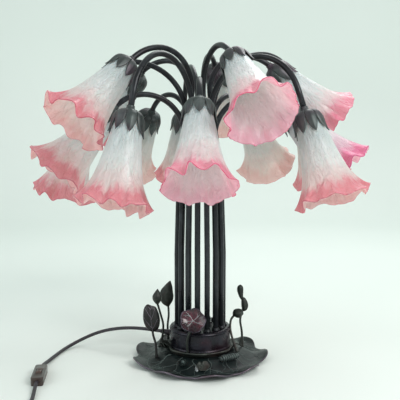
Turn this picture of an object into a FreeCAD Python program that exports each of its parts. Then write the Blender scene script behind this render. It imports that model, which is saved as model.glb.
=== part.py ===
"""Pond lily table lamp: fifteen bent tubes on a lily pad base, each with a leaf cap and a ruffled shade.

Frame: millimetres, +Z up, origin on the table under the middle of the base, +X right, +Y back.
An azimuth is counted from the front (-Y) towards the right (+X).
A lamp head is drawn in its own frame: origin at the tube's end, +Z along the shade towards its mouth.
"""
import FreeCAD, Part
import math
import os
import Sketcher
from FreeCAD import Placement, Rotation, Vector

doc = FreeCAD.newDocument("PondLilyLamp")
sheet = doc.addObject("Spreadsheet::Sheet", "Sizes")

SIZES = {
    # base stack, from the table up
    "felt_radius": 92, "felt_thickness": 1.6,
    "cover_radius": 82, "cover_thickness": 2.4, "cover_play": 0.3, "ledge_width": 7,
    "screw_radius": 1.4, "screw_head_radius": 2.7, "screw_head_height": 1.2, "screw_length": 7,
    "screw_count": 3,
    "base_radius": 112, "base_lobe": 5.5, "base_wave": 2.4, "base_edge_height": 10,
    "base_dish_radius": 96.3, "base_dish_height": 7.5,
    "base_deck_radius": 66, "base_deck_height": 21, "base_wall": 3.2, "base_foot_width": 7,
    "step_radius": 60, "step_lobe": 3, "step_wave": 1.2, "step_height": 6.5, "step_lip": 2.5, "step_inset": 5,
    "drum_radius": 53, "drum_height": 34, "drum_wall": 3, "drum_top": 4, "drum_chamfer": 2.5,
    "outlet_height": 12.5,
    "rod_radius": 4, "rod_play": 0.4, "rod_reach": 9,
    "nut_across": 14, "nut_height": 6,
    # tubes
    "tube_diameter": 9.4, "tube_circle": 40, "tube_play": 0.2, "tube_foot": 12,
    "ferrule_radius": 7, "ferrule_height": 5,
    "bow_start": 190, "bow_radius": 1500, "bow_turn": 7.6, "low_bow_turn": 7,
    "upper_lean": 72, "upper_rise": 62, "upper_fall": 80, "upper_tilt": 50, "upper_drop": 3,
    "wide_lean": 20, "wide_rise": 92, "wide_fall": 70, "wide_tilt": 24, "wide_drop": 46,
    "low_lean": 10, "low_rise": 70, "low_fall": 70, "low_tilt": 40, "low_drop": 8,
    # lamp head
    "cap_hub_radius": 7, "cap_shoulder_radius": 20.5, "cap_skirt_radius": 24, "cap_shoulder": 6,
    "cap_valley": 21, "cap_petal": 33, "cap_wall": 1.2,
    "neck_gap": 0.3, "neck_hole": 10.5, "glass_wall": 2.2,
    "neck_radius": 15.5, "neck_length": 10, "shoulder_radius": 18.8, "waist_radius": 25, "bell_radius": 32.5,
    "flare_radius": 43, "rim_radius": 55, "waist_drop": 50, "bell_drop": 90, "flare_drop": 119,
    "rim_drop": 140, "ruffle_swing": 4, "ruffle_drop": 4,
    "socket_radius": 8.5, "socket_length": 34, "flange_radius": 12.6, "flange_height": 2.4,
    "bulb_neck": 6.5, "bulb_radius": 14, "bulb_length": 42,
    # cord and what is on it
    "cord_diameter": 6, "relief_length": 24, "relief_root": 5.5, "relief_tip": 3.8,
    "switch_length": 62, "switch_width": 20, "switch_height": 14, "switch_round": 4, "switch_wall": 1.6,
    "slot_length": 20, "slot_width": 9, "rocker_play": 0.5, "rocker_rise": 2.2, "rocker_taper": 1.2,
    "rocker_turn": 18, "pivot_height": 10.08, "trunnion_radius": 1.2, "trunnion_length": 2,
    "coil_outer": 44, "coil_pitch": 6.7, "coil_layer": 6.5, "coil_turns": 6.25, "coil_run": 38,
    "plug_length": 34, "plug_width": 24, "plug_round": 3, "blade_length": 17, "blade_width": 6.4,
    "blade_thickness": 1.5, "blade_pitch": 12.7,
}
for row, (alias, value) in enumerate(SIZES.items(), start=1):
    sheet.set(f"A{row}", alias.replace("_", " "))
    sheet.set(f"B{row}", str(value))
    sheet.setAlias(f"B{row}", alias)
doc.recompute()

pieces = []


def size(expression):
    """The value of a sheet cell, or of an expression over cells written as Sizes.alias."""
    return float(sheet.evalExpression(expression if "." in expression else f"Sizes.{expression}"))


def keep(name, item):
    """Name an object of the document as one sub-part."""
    item.Label = name
    pieces.append(item)
    return item


def feature(name, shape, placement=None):
    """A sub-part whose shape is worked out below from the sheet's sizes."""
    item = doc.addObject("Part::Feature", name)
    item.Shape = shape
    if placement:
        item.Placement = placement.multiply(item.Placement)
    return keep(name, item)


# ---- shapes by formula --------------------------------------------------------------------------------

def faceted(rings, closed=False):
    """A solid of flat triangles through rings of equally many points; a closed chain joins last to first."""
    count = len(rings[0])
    points = [Vector(*corner) for corners in rings for corner in corners]
    triangles = []
    pairs = list(zip(range(len(rings)), range(1, len(rings))))
    if closed:
        pairs.append((len(rings) - 1, 0))
    for near, far in pairs:
        for i in range(count):
            j = (i + 1) % count
            a, b = near * count + i, near * count + j
            c, d = far * count + i, far * count + j
            triangles.extend([(a, b, d), (a, d, c)])
    if not closed:
        for first, turn in ((0, -1), ((len(rings) - 1) * count, 1)):
            points.append(sum(points[first:first + count], Vector()) / count)
            hub = len(points) - 1
            for i in range(count):
                edge = (first + i, first + (i + 1) % count)[::turn]
                triangles.append((edge[0], edge[1], hub))
    shell = Part.Shape()
    shell.makeShapeFromMesh((points, triangles), 0.001)
    solid = Part.makeSolid(Part.Shell(shell.Faces)).removeSplitter()
    if solid.Volume < 0:
        solid.reverse()
    return solid


def ring(count, radius, height, lobes=0, swing=0.0, wave=0.0):
    """Points round the Z axis; lobes swing their radius and wave their height."""
    points = []
    for i in range(count):
        angle = 2 * math.pi * i / count
        beat = math.cos(lobes * angle) if lobes else 0.0
        reach = radius + swing * beat
        points.append((reach * math.cos(angle), reach * math.sin(angle), height + wave * beat))
    return points


def turned(count, profile):
    """A solid of revolution with flat sides through (radius, height) pairs."""
    return faceted([ring(count, radius, height) for radius, height in profile])


def pipe(path, radius, sides):
    """A bar of polygon section along a wire."""
    start = path.OrderedVertexes[0].Point
    heading = path.OrderedEdges[0].tangentAt(path.OrderedEdges[0].FirstParameter)
    across = heading.cross(Vector(0, 0, 1))
    if across.Length < 0.01:
        across = Vector(1, 0, 0)
    across.normalize()
    side = heading.cross(across)
    corners = []
    for i in range(sides):
        angle = 2 * math.pi * (i + 0.5) / sides
        corners.append(start + across * (radius * math.cos(angle)) + side * (radius * math.sin(angle)))
    section = Part.makePolygon(corners + corners[:1])
    return path.makePipeShell([section], True, False)


def bent_wire(points, share=0.45, radii=None):
    """Straight runs between points, joined by tangent arcs as large as the shorter run allows."""
    points = [Vector(*point) for point in points]
    edges = []
    start = points[0]
    for before, corner, after in zip(points, points[1:], points[2:]):
        back = before - corner
        on = after - corner
        half_turn = (math.pi - back.getAngle(on)) / 2
        cut = share * min(back.Length, on.Length)
        entry = corner + back * (cut / back.Length)
        leave = corner + on * (cut / on.Length)
        bend = cut / math.tan(half_turn)
        if radii is not None:
            radii.append(bend)
        inward = (entry + leave) / 2 - corner
        reach = bend / math.cos(half_turn) - bend
        middle = corner + inward * (reach / inward.Length)
        edges.append(Part.LineSegment(start, entry).toShape())
        edges.append(Part.Arc(entry, middle, leave).toShape())
        start = leave
    edges.append(Part.LineSegment(start, points[-1]).toShape())
    return Part.Wire(edges)


def biarc(start, heading, end, last_heading):
    """Two arcs that leave start along one heading and reach end along the other."""
    gap = end - start
    both = heading + last_heading
    spread = 2 * (1 - heading.dot(last_heading))
    reach = (-gap.dot(both) + math.sqrt(gap.dot(both) ** 2 + spread * gap.dot(gap))) / spread
    middle = (start + end + (heading - last_heading) * reach) / 2
    edges = []
    for a, corner, b in ((start, start + heading * reach, middle), (middle, end - last_heading * reach, end)):
        chord = (a + b) / 2
        half_turn = (corner - a).getAngle(b - a)
        crown = chord + (corner - chord) * (math.tan(half_turn / 2) / math.tan(half_turn))
        edges.append(Part.Arc(a, crown, b).toShape())
    return edges


# ---- sketches -----------------------------------------------------------------------------------------

def new_body(name):
    return keep(name, doc.addObject("PartDesign::Body", name))


def new_sketch(body, name, role, height=None):
    """A sketch on one of the body's own origin planes, lifted along the plane's normal."""
    sketch = body.newObject("Sketcher::SketchObject", name)
    plane = next(item for item in body.Origin.OriginFeatures if item.Role == role)
    sketch.AttachmentSupport = (plane, [""])
    sketch.MapMode = "FlatFace"
    if height:
        sketch.setExpression("AttachmentOffset.Base.z", height)
    return sketch


def bind(sketch, kind, places, expression):
    index = sketch.addConstraint(Sketcher.Constraint(kind, *places, size(expression)))
    sketch.setExpression(f"Constraints[{index}]", expression)


def outline(sketch, corners):
    """A closed outline whose corners are pairs of sheet expressions."""
    points = [Vector(size(x), size(y), 0) for x, y in corners]
    count = len(points)
    for i in range(count):
        sketch.addGeometry(Part.LineSegment(points[i], points[(i + 1) % count]))
    for i in range(count):
        sketch.addConstraint(Sketcher.Constraint("Coincident", i, 2, (i + 1) % count, 1))
    for i, (x, y) in enumerate(corners):
        bind(sketch, "DistanceX", (-1, 1, i, 1), x)
        bind(sketch, "DistanceY", (-1, 1, i, 1), y)


def circle(sketch, x, y, radius):
    """A circle whose centre and radius are sheet expressions."""
    index = sketch.addGeometry(Part.Circle(Vector(size(x), size(y), 0), Vector(0, 0, 1), size(radius)))
    bind(sketch, "DistanceX", (-1, 1, index, 3), x)
    bind(sketch, "DistanceY", (-1, 1, index, 3), y)
    bind(sketch, "Radius", (index,), radius)


def revolve(body, name, corners):
    """A turned piece: its half section, drawn in the XZ plane, goes once round Z."""
    sketch = new_sketch(body, f"{name}_section", "XZ_Plane")
    outline(sketch, corners)
    turned_piece = body.newObject("PartDesign::Revolution", name)
    turned_piece.Profile = sketch
    turned_piece.ReferenceAxis = (sketch, ["V_Axis"])
    turned_piece.Angle = 360
    return turned_piece


def pad(body, name, sketch, length):
    block = body.newObject("PartDesign::Pad", name)
    block.Profile = sketch
    block.setExpression("Length", length)
    return block


def pocket(body, name, sketch, length=None, reverse=False):
    cut = body.newObject("PartDesign::Pocket", name)
    cut.Profile = sketch
    cut.Reversed = reverse
    if length:
        cut.setExpression("Length", length)
    else:
        cut.Type = "ThroughAll"
        cut.Midplane = True
    return cut


def polar(body, name, cut, count):
    pattern = body.newObject("PartDesign::PolarPattern", name)
    pattern.Originals = [cut]
    pattern.Axis = (cut.Profile[0], ["N_Axis"])
    pattern.Angle = 360
    pattern.Occurrences = count
    body.Tip = pattern
    return pattern


# ---- base stack ---------------------------------------------------------------------------------------

FELT_TOP = "Sizes.felt_thickness"
DECK = "Sizes.base_deck_height"
STEP_TOP = f"({DECK} + Sizes.step_height)"
DRUM_TOP = f"({STEP_TOP} + Sizes.drum_height)"
ROD_HOLE = "(Sizes.rod_radius + Sizes.rod_play)"
LEDGE = "(Sizes.felt_thickness + Sizes.cover_thickness)"
BASE_SIDES = 36
BASE_LOBES = 9
STEP_SIDES = 32
STEP_LOBES = 8
TUBE_COUNT = 15
TUBE_SIDES = 8
INNER_SIDES = 6
STEM_SIDES = 6
HEAD_SIDES = 16
RUFFLES = 8
CORD_SIDES = 6

felt = new_body("felt_pad")
felt_outline = new_sketch(felt, "felt_outline", "XY_Plane")
circle(felt_outline, "Sizes.felt_radius * 0", "Sizes.felt_radius * 0", "Sizes.felt_radius")
pad(felt, "felt_disc", felt_outline, "Sizes.felt_thickness")

cover = new_body("bottom_cover")
cover_outline = new_sketch(cover, "cover_outline", "XY_Plane", FELT_TOP)
circle(cover_outline, "Sizes.cover_radius * 0", "Sizes.cover_radius * 0", "Sizes.cover_radius")
pad(cover, "cover_disc", cover_outline, "Sizes.cover_thickness")
SCREW_CIRCLE = "(Sizes.cover_radius - Sizes.ledge_width / 2)"
for hole, hole_radius, hole_depth in (
    ("screw_hole", "Sizes.screw_radius + 0.1", None),
    ("head_recess", "Sizes.screw_head_radius + 0.1", "Sizes.screw_head_height"),
):
    hole_sketch = new_sketch(cover, f"{hole}_place", "XY_Plane", FELT_TOP)
    circle(hole_sketch, SCREW_CIRCLE, "Sizes.cover_radius * 0", hole_radius)
    cut = pocket(cover, hole, hole_sketch, hole_depth, bool(hole_depth))
    polar(cover, f"{hole}s", cut, int(size("screw_count")))


def screw_places():
    count = int(size("screw_count"))
    for i in range(count):
        angle = 2 * math.pi * i / count
        reach = size(SCREW_CIRCLE)
        yield Vector(reach * math.cos(angle), reach * math.sin(angle), size(FELT_TOP))


def screw(place):
    """A cover screw: its head lies flush in the cover and its shank in the base's ledge."""
    head, shank, under = size("screw_head_radius"), size("screw_radius"), size("screw_head_height")
    bolt = turned(8, [(head, 0), (head, under), (shank, under), (shank, size("screw_length"))])
    bolt.translate(place)
    return bolt


feature("cover_screws", Part.makeCompound([screw(place) for place in screw_places()]))


def base_shell():
    """The cast lily pad: lobed wavy edge, dished border, raised deck, hollow underneath with a foot ring."""
    edge, deck = size("base_radius"), size("base_deck_radius")
    lobe, wave = size("base_lobe"), size("base_wave")
    lip, dish, top = size("base_edge_height"), size("base_dish_height"), size("base_deck_height")
    wall, foot = size("base_wall"), size(FELT_TOP)
    hole = size(ROD_HOLE)
    cover_edge = size("cover_radius") + size("cover_play")
    foot_edge = cover_edge + size("base_foot_width")
    ledge = size("cover_radius") - size("ledge_width")

    def lobed(radius, height, share):
        return ring(BASE_SIDES, radius, height, BASE_LOBES, lobe * share, wave * share)

    def plain(radius, height):
        return ring(BASE_SIDES, radius, height)

    rings = [
        plain(hole, top), plain(deck, top), lobed(size("base_dish_radius"), dish, 0.3), lobed(edge, lip, 1.0),
        lobed(edge, lip - wall * 0.7, 1.0), plain(foot_edge, foot + 1.0), plain(foot_edge - 1.0, foot),
        plain(cover_edge / math.cos(math.pi / BASE_SIDES), foot),
        plain(cover_edge / math.cos(math.pi / BASE_SIDES), size(LEDGE)), plain(ledge, size(LEDGE)),
        plain(deck - wall, top - wall), plain(hole, top - wall),
    ]
    return faceted(rings, closed=True)


base = base_shell()
for place in screw_places():
    bore = Part.makeCylinder(size("screw_radius") + 0.1, size("screw_length"), place)
    base = base.cut(bore)
feature("base_pad", base)


def step_shell():
    """A second, smaller pad between the base and the drum."""
    edge, lobe, wave = size("step_radius"), size("step_lobe"), size("step_wave")
    low, top, lip = size(DECK), size(STEP_TOP), size("step_lip")
    inset, hole = size("step_inset"), size(ROD_HOLE)

    def lobed(radius, height, share):
        return ring(STEP_SIDES, radius, height, STEP_LOBES, lobe * share, wave * share)

    rings = [
        lobed(hole, top, 0), lobed(edge - inset, top, 0), lobed(edge, top + lip, 1.0),
        lobed(edge + 1.0, top, 1.0), lobed(edge - inset, low, 0), lobed(hole, low, 0),
    ]
    return faceted(rings, closed=True)


feature("pad_step", step_shell())

drum = doc.addObject("PartDesign::Body", "drum_blank")
DRUM_INSIDE = "Sizes.drum_radius - Sizes.drum_wall"
DRUM_CEILING = f"{DRUM_TOP} - Sizes.drum_top"
revolve(drum, "drum_cup", [
    (ROD_HOLE, DRUM_CEILING), (DRUM_INSIDE, DRUM_CEILING), (DRUM_INSIDE, STEP_TOP),
    ("Sizes.drum_radius", STEP_TOP), ("Sizes.drum_radius", f"{DRUM_TOP} - Sizes.drum_chamfer"),
    ("Sizes.drum_radius - Sizes.drum_chamfer", DRUM_TOP), (ROD_HOLE, DRUM_TOP),
])
tube_hole_sketch = new_sketch(drum, "tube_hole_place", "XY_Plane", DRUM_TOP)
FIRST_TUBE = -6.5
STEP_ANGLE = 360 / TUBE_COUNT


def outward(azimuth):
    """Unit vector on the table at an azimuth."""
    angle = math.radians(azimuth)
    return Vector(math.sin(angle), -math.cos(angle), 0)


def regular(sketch, centre, radius, count, turn):
    """A regular polygon held by fixed corners: a bore that the polygon tube slides through."""
    corners = []
    for i in range(count):
        angle = 2 * math.pi * (i + 0.5) / count + turn
        corners.append(centre + Vector(radius * math.cos(angle), radius * math.sin(angle), 0))
    for i in range(count):
        sketch.addGeometry(Part.LineSegment(corners[i], corners[(i + 1) % count]))
    for i in range(count):
        sketch.addConstraint(Sketcher.Constraint("Coincident", i, 2, (i + 1) % count, 1))
        sketch.addConstraint(Sketcher.Constraint("Block", i))


first_place = outward(FIRST_TUBE) * size("tube_circle")
regular(tube_hole_sketch, first_place, size("tube_diameter") / 2 + size("tube_play"), TUBE_SIDES,
        math.radians(FIRST_TUBE))
polar(drum, "tube_holes", pocket(drum, "tube_hole", tube_hole_sketch, "Sizes.drum_top + 1"), TUBE_COUNT)

CORD_AZIMUTH = -115.0
OUTLET = f"({STEP_TOP} + Sizes.outlet_height)"


def cord_outlet():
    """The bore through the drum's wall that the strain relief is pushed into."""
    away = outward(CORD_AZIMUTH)
    start = away * (size("drum_radius") - size("drum_wall") - 4) + Vector(0, 0, size(OUTLET))
    return Part.makeCylinder(size("relief_root") - 1.2, size("drum_wall") + 8, start, away)


outlet_tool = doc.addObject("Part::Feature", "outlet_tool")
outlet_tool.Shape = cord_outlet()
drum_cut = doc.addObject("Part::Cut", "drum_with_outlet")
drum_cut.Base = drum
drum_cut.Tool = outlet_tool
keep("stem_drum", drum_cut)

rod = new_body("tie_rod")
rod_outline = new_sketch(rod, "rod_outline", "XY_Plane", f"{DECK} - Sizes.base_wall - Sizes.rod_reach")
circle(rod_outline, "Sizes.rod_radius * 0", "Sizes.rod_radius * 0", "Sizes.rod_radius")
ROD_LENGTH = "Sizes.base_wall + Sizes.step_height + Sizes.drum_height + 2 * Sizes.rod_reach"
pad(rod, "rod_bar", rod_outline, ROD_LENGTH)


def nut(height):
    """A hexagon nut on the tie rod with its lower face at a height."""
    corner = size("nut_across") / math.sqrt(3)
    rings = [
        ring(6, corner, height), ring(6, corner, height + size("nut_height")),
        ring(6, size(ROD_HOLE) / math.cos(math.pi / 6), height + size("nut_height")),
        ring(6, size(ROD_HOLE) / math.cos(math.pi / 6), height),
    ]
    return faceted(rings, closed=True)


LOWER_NUT = f"{DECK} - Sizes.base_wall - Sizes.nut_height"
feature("tie_nuts", Part.makeCompound([nut(size(DRUM_TOP)), nut(size(LOWER_NUT))]))

# ---- tubes --------------------------------------------------------------------------------------------

# Three tiers take turns round the drum. A row bends one tube by hand: what is added to its tier's rise, fall,
# tilt and drop, and how far its crown is twisted round its stem, in degrees.
TIERS = ("low", "upper", "wide")
HAND_BENDS = [
    (16, -3, -7, -5, 7), (3, -5, 0, -1, 4), (3, 10, -2, -9, 9), (-5, -2, 6, -5, 11), (-5, -5, 1, -1, 11),
    (17, 5, -3, 7, 9), (-1, -11, 0, -1, 9), (0, -12, 0, 0, 6), (0, 0, 0, 0, 4), (0, 0, 0, 0, 7),
    (-11, 0, 0, 0, 7), (2, -1, -5, 5, 4), (-2, -5, 3, -4, 4), (2, 6, -3, -1, 5), (5, 11, -6, -15, 2),
]


def tube_route(tier, bend):
    """The tube's middle line, drawn for azimuth 90, and the place and direction of its end."""
    more_rise, more_fall, more_tilt, more_drop, twist = bend
    bow = math.radians(size("low_bow_turn" if tier == "low" else "bow_turn"))
    tilt = math.radians(size(f"{tier}_tilt") + more_tilt)
    edges = []
    spot = [size("tube_circle"), size(DRUM_TOP) - size("drum_top") - size("tube_foot"), 0.0]

    def run(length):
        reach, height, lean = spot
        end = (reach + length * math.sin(lean), height + length * math.cos(lean))
        edges.append(Part.LineSegment(Vector(reach, 0, height), Vector(end[0], 0, end[1])).toShape())
        spot[:2] = end

    def turn(radius, to_lean):
        reach, height, lean = spot
        side = 1 if to_lean > lean else -1

        def at(angle):
            return Vector(reach + side * radius * (math.cos(lean) - math.cos(angle)), 0,
                          height + side * radius * (math.sin(angle) - math.sin(lean)))

        edges.append(Part.Arc(at(lean), at((lean + to_lean) / 2), at(to_lean)).toShape())
        end = at(to_lean)
        spot[:] = [end.x, end.z, to_lean]

    run(size("bow_start") - spot[1])
    turn(size("bow_radius"), -bow)
    run(size(f"{tier}_lean"))
    stem_edges = len(edges)
    stem_top = Vector(spot[0], 0, spot[1])
    stem_axis = Vector(-math.sin(bow), 0, math.cos(bow))
    turn(size(f"{tier}_rise") + more_rise, math.pi / 2)
    turn(size(f"{tier}_fall") + more_fall, math.pi - tilt)
    run(size(f"{tier}_drop") + more_drop)
    for edge in edges[stem_edges:]:
        edge.rotate(stem_top, stem_axis, twist)
    crown = Placement(Vector(), Rotation(stem_axis, twist), stem_top)
    facing = Rotation(Vector(0, 0, 1), Vector(math.sin(tilt), 0, -math.cos(tilt)))
    return Part.Wire(edges), crown.multiply(Placement(Vector(spot[0], 0, spot[1]), facing))


arms = []
for number in range(TUBE_COUNT):
    tier = TIERS[number % 3]
    bend = HAND_BENDS[number]
    azimuth = FIRST_TUBE + STEP_ANGLE * number
    route, tube_end = tube_route(tier, bend)
    swing = Placement(Vector(), Rotation(Vector(0, 0, 1), azimuth - 90))
    bar = pipe(route, size("tube_diameter") / 2, TUBE_SIDES)
    feature(f"arm_{number + 1:02d}", bar, swing)
    arms.append((tier, azimuth, swing.multiply(tube_end)))


def ferrule():
    """A collar on the drum's top round a tube."""
    bore = size("tube_diameter") / 2 + size("tube_play")
    low, high = size(DRUM_TOP), size(DRUM_TOP) + size("ferrule_height")
    rings = [
        ring(TUBE_SIDES, bore, low), ring(TUBE_SIDES, size("ferrule_radius"), low),
        ring(TUBE_SIDES, size("ferrule_radius") - 0.6, high), ring(TUBE_SIDES, bore, high),
    ]
    half_side = math.pi / TUBE_SIDES
    collar = faceted([[turn_point(point, half_side) for point in one] for one in rings], closed=True)
    collar.translate(Vector(size("tube_circle"), 0, 0))
    return collar


def turn_point(point, angle):
    x, y, z = point
    return (x * math.cos(angle) - y * math.sin(angle), x * math.sin(angle) + y * math.cos(angle), z)


collars = []
for _, azimuth, _ in arms:
    collar = ferrule()
    collar.Placement = Placement(Vector(), Rotation(Vector(0, 0, 1), azimuth - 90)).multiply(collar.Placement)
    collars.append(collar)
feature("foot_ferrules", Part.makeCompound(collars))

# ---- lamp heads ---------------------------------------------------------------------------------------

def calyx_cap():
    """A leaf cap: a bell of eight pointed petals on a flat hub where the tube ends."""
    wall, hub = size("cap_wall"), size("cap_hub_radius")
    shoulder, skirt = size("cap_shoulder_radius"), size("cap_skirt_radius")
    rise = size("cap_shoulder")
    middle = (size("cap_valley") + size("cap_petal")) / 2
    point = (size("cap_petal") - size("cap_valley")) / 2

    def petals(inset):
        return ring(HEAD_SIDES, skirt - inset, middle, RUFFLES, 0.8, point)

    rings = [
        ring(HEAD_SIDES, hub, 0), ring(HEAD_SIDES, shoulder, rise), petals(0),
        petals(wall), ring(HEAD_SIDES, shoulder - wall, rise + wall), ring(HEAD_SIDES, hub, wall),
    ]
    return faceted(rings)


def neck_seat():
    """How far below the tube's end the glass meets the cap's inside."""
    wall, hub = size("cap_wall"), size("cap_hub_radius")
    share = (size("neck_radius") - hub) / (size("cap_shoulder_radius") - wall - hub)
    return wall + size("cap_shoulder") * share + size("neck_gap")


def ruffled_shade():
    """Pressed glass lily: a neck that hangs in the cap, a trumpet, and a ruffled rim."""
    wall = size("glass_wall")
    seat = neck_seat()
    bands = [
        (size("neck_radius"), seat, 0.0), (size("shoulder_radius"), seat + size("neck_length"), 0.0),
        (size("waist_radius"), size("waist_drop"), 0.0), (size("bell_radius"), size("bell_drop"), 0.0),
        (size("flare_radius"), size("flare_drop"), 0.35), (size("rim_radius"), size("rim_drop"), 1.0),
    ]

    def band(radius, drop, share):
        swing, wave = size("ruffle_swing") * share, -size("ruffle_drop") * share
        return ring(HEAD_SIDES, radius, drop, RUFFLES, swing, wave)

    outer = [band(*entry) for entry in bands]
    inner = [band(radius - wall, drop + (wall if share == 0 else wall * 0.3), share)
             for radius, drop, share in (bands[5], bands[4], bands[3], bands[1])]
    lip = [ring(HEAD_SIDES, size("neck_hole"), seat + wall), ring(HEAD_SIDES, size("neck_hole"), seat)]
    return faceted(outer + inner + lip, closed=True)


def lamp_holder():
    """The socket: a sleeve under the cap whose flange carries the glass by its neck."""
    body, rim, hole = size("socket_radius"), size("flange_radius"), size("neck_hole")
    share = (rim - hole) / (size("shoulder_radius") - size("glass_wall") - hole)
    flange = neck_seat() + size("glass_wall") + size("neck_length") * share + size("neck_gap")
    return turned(INNER_SIDES, [
        (size("cap_hub_radius") - 0.5, size("cap_wall")), (body, flange), (rim, flange),
        (body, flange + size("flange_height")), (body, size("socket_length")),
    ])


def bulb():
    """A small lamp bulb, screwed into the socket's mouth."""
    low, length, wide = size("socket_length"), size("bulb_length"), size("bulb_radius")
    return turned(INNER_SIDES, [
        (size("bulb_neck"), low), (wide * 0.9, low + length * 0.3), (wide, low + length * 0.55),
        (wide * 0.7, low + length * 0.85), (wide * 0.2, low + length),
    ])


def placed(shape, head):
    copy = shape.copy()
    copy.Placement = head
    return copy


cap, glass, holder, lamp = calyx_cap(), ruffled_shade(), lamp_holder(), bulb()
for number, (_, _, head) in enumerate(arms, start=1):
    feature(f"shade_{number:02d}", glass.copy(), head)
for tier in TIERS:
    feature(f"{tier}_caps", Part.makeCompound([placed(cap, head) for kind, _, head in arms if kind == tier]))
feature("sockets", Part.makeCompound([placed(holder, head) for _, _, head in arms]))
feature("bulbs", Part.makeCompound([placed(lamp, head) for _, _, head in arms]))

# ---- ornaments on the base ----------------------------------------------------------------------------

def along(points, radii, sides):
    """A soft form through rings square to a bent line, one radius or (across, deep) pair at each point."""
    points = [Vector(*point) for point in points]
    rings = []
    for i, (point, radius) in enumerate(zip(points, radii)):
        heading = points[min(i + 1, len(points) - 1)] - points[max(i - 1, 0)]
        side = heading.cross(Vector(0, 1, 0)).normalize()
        deep = side.cross(heading).normalize()
        across, depth = radius if isinstance(radius, tuple) else (radius, radius)
        corners = []
        for k in range(sides):
            angle = 2 * math.pi * k / sides
            corner = point + side * (across * math.cos(angle)) + deep * (depth * math.sin(angle))
            corners.append(tuple(corner))
        rings.append(corners)
    return faceted(rings)


def base_height(reach):
    """The base pad's top at a distance from the axis."""
    share = (reach - size("base_deck_radius")) / (size("base_dish_radius") - size("base_deck_radius"))
    fall = size("base_deck_height") - size("base_dish_height")
    return size("base_deck_height") - fall * min(max(share, 0), 1)


BASE_FALL = size("base_deck_height") - size("base_dish_height")
BASE_SLOPE = BASE_FALL / (size("base_dish_radius") - size("base_deck_radius"))
BASE_PLAY = 0.3


def stem(points, radius=1.9):
    """A wire stem that starts on the base's top."""
    foot = Vector(*points[0])
    foot.z = base_height(math.hypot(foot.x, foot.y)) + radius * BASE_SLOPE + BASE_PLAY
    return pipe(bent_wire([tuple(foot)] + points[1:]), radius, STEM_SIDES)


LEFT_BUD_STEM = [(-72, 12, 20), (-69, 11, 46), (-68, 10, 68), (-75, 10, 86), (-75, 10, 98)]
LEFT_BUD = [(-75, 10, 97), (-75, 10, 103), (-74.8, 10, 110), (-74.5, 10, 117), (-74.2, 10, 122)]
feature("left_bud", stem(LEFT_BUD_STEM).fuse(along(LEFT_BUD, (3, 7.2, 8, 4.5, 0.8), TUBE_SIDES)))

LEFT_POD_STEM = [(-74, -34, 20), (-75.5, -34, 38), (-79.5, -35, 54), (-81, -35, 66)]
LEFT_POD = [(-81, -35, 62), (-82, -35, 70), (-82.5, -35, 84), (-82, -35, 98), (-81.5, -35, 105)]
feature("left_pod", stem(LEFT_POD_STEM).fuse(
    along(LEFT_POD, ((5, 3), (13, 6), (15, 7.5), (11.5, 6), (4, 2.5)), TUBE_SIDES)))

BACK_LEAF_STEM = [(-58, 52, 20), (-59, 52, 44), (-57, 53, 64), (-58, 54, 84)]
BACK_LEAF = [(-58, 54, 82), (-60, 54, 90), (-60.5, 54, 103), (-57, 54, 116), (-54, 54, 126)]
feature("back_leaf", stem(BACK_LEAF_STEM).fuse(
    along(BACK_LEAF, ((4, 2.5), (11, 5), (12.5, 6), (7.5, 4), (1.2, 1)), TUBE_SIDES)))

DISH_SIDES = 16


def flower_dish():
    """A small veined lily dish that leans against the front tubes on its own bent stalk."""
    rings = [
        ring(DISH_SIDES, 2, 1.2), ring(DISH_SIDES, 12, 1.6), ring(DISH_SIDES, 19, 6, 5, 2.2, 1.0),
        ring(DISH_SIDES, 20.5, 5, 5, 2.2, 1.0), ring(DISH_SIDES, 12, 0), ring(DISH_SIDES, 2, -0.6),
    ]
    dish = faceted(rings)
    dish.Placement = Placement(Vector(-12, -53.5, 84), Rotation(Vector(1, 0, 0), 62))
    foot = (-20.8, -52.6, size(STEP_TOP) + 2.4)
    stalk = pipe(bent_wire([foot, (-21.5, -55, 48), (-18, -57, 64), (-13, -54.8, 81)]), 2.0, STEM_SIDES)
    return stalk.fuse(dish)


feature("flower_dish", flower_dish())


def blossom(place, radius, height):
    """A low rosette: a domed knob with a lobed skirt."""
    rings = [
        ring(12, radius, 0, 6, radius * 0.12), ring(12, radius * 1.08, height * 0.35, 6, radius * 0.12),
        ring(12, radius * 0.6, height * 0.8), ring(12, radius * 0.15, height),
    ]
    flower = faceted(rings)
    x, y = place
    reach = math.hypot(x, y)
    uphill = Vector(x / reach * BASE_SLOPE, y / reach * BASE_SLOPE, 1)
    seat = Vector(x, y, base_height(reach) + 3 * BASE_PLAY)
    flower.Placement = Placement(seat, Rotation(Vector(0, 0, 1), uphill))
    return flower


feature("base_blossoms", Part.makeCompound([
    blossom((-27, -74), 6.5, 12), blossom((5, -81), 10, 5),
]))

RIGHT_BUD_STEM = [(65, -22, 20), (60, -16, 42), (58, -8, 60), (55, -2, 72), (60, 0, 79)]
RIGHT_BUD = [(58, 0, 79), (61, 0, 80.5), (65, 0, 82), (71, 0, 82), (75, 0, 81)]
TWIN_STEM = [(75, 14, 20), (74, 14, 44), (71, 14, 66), (75, 14, 84), (76.5, 14, 96)]
TWIN_LOWER = [(76.5, 14, 83), (78.5, 14, 87), (79, 14, 94), (77, 14, 102), (74.5, 14, 106)]
TWIN_UPPER = [(75, 14, 104), (72.5, 14, 109), (71, 14, 119), (71, 14, 126), (71.5, 14, 129)]
twin = stem(TWIN_STEM).fuse([
    along(TWIN_LOWER, (2, 5, 6, 4.5, 2), TUBE_SIDES), along(TWIN_UPPER, (2, 3.6, 5.4, 4.8, 1.5), TUBE_SIDES),
])
single = stem(RIGHT_BUD_STEM).fuse(along(RIGHT_BUD, (2, 6.5, 8, 7, 2.5), TUBE_SIDES))
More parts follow.
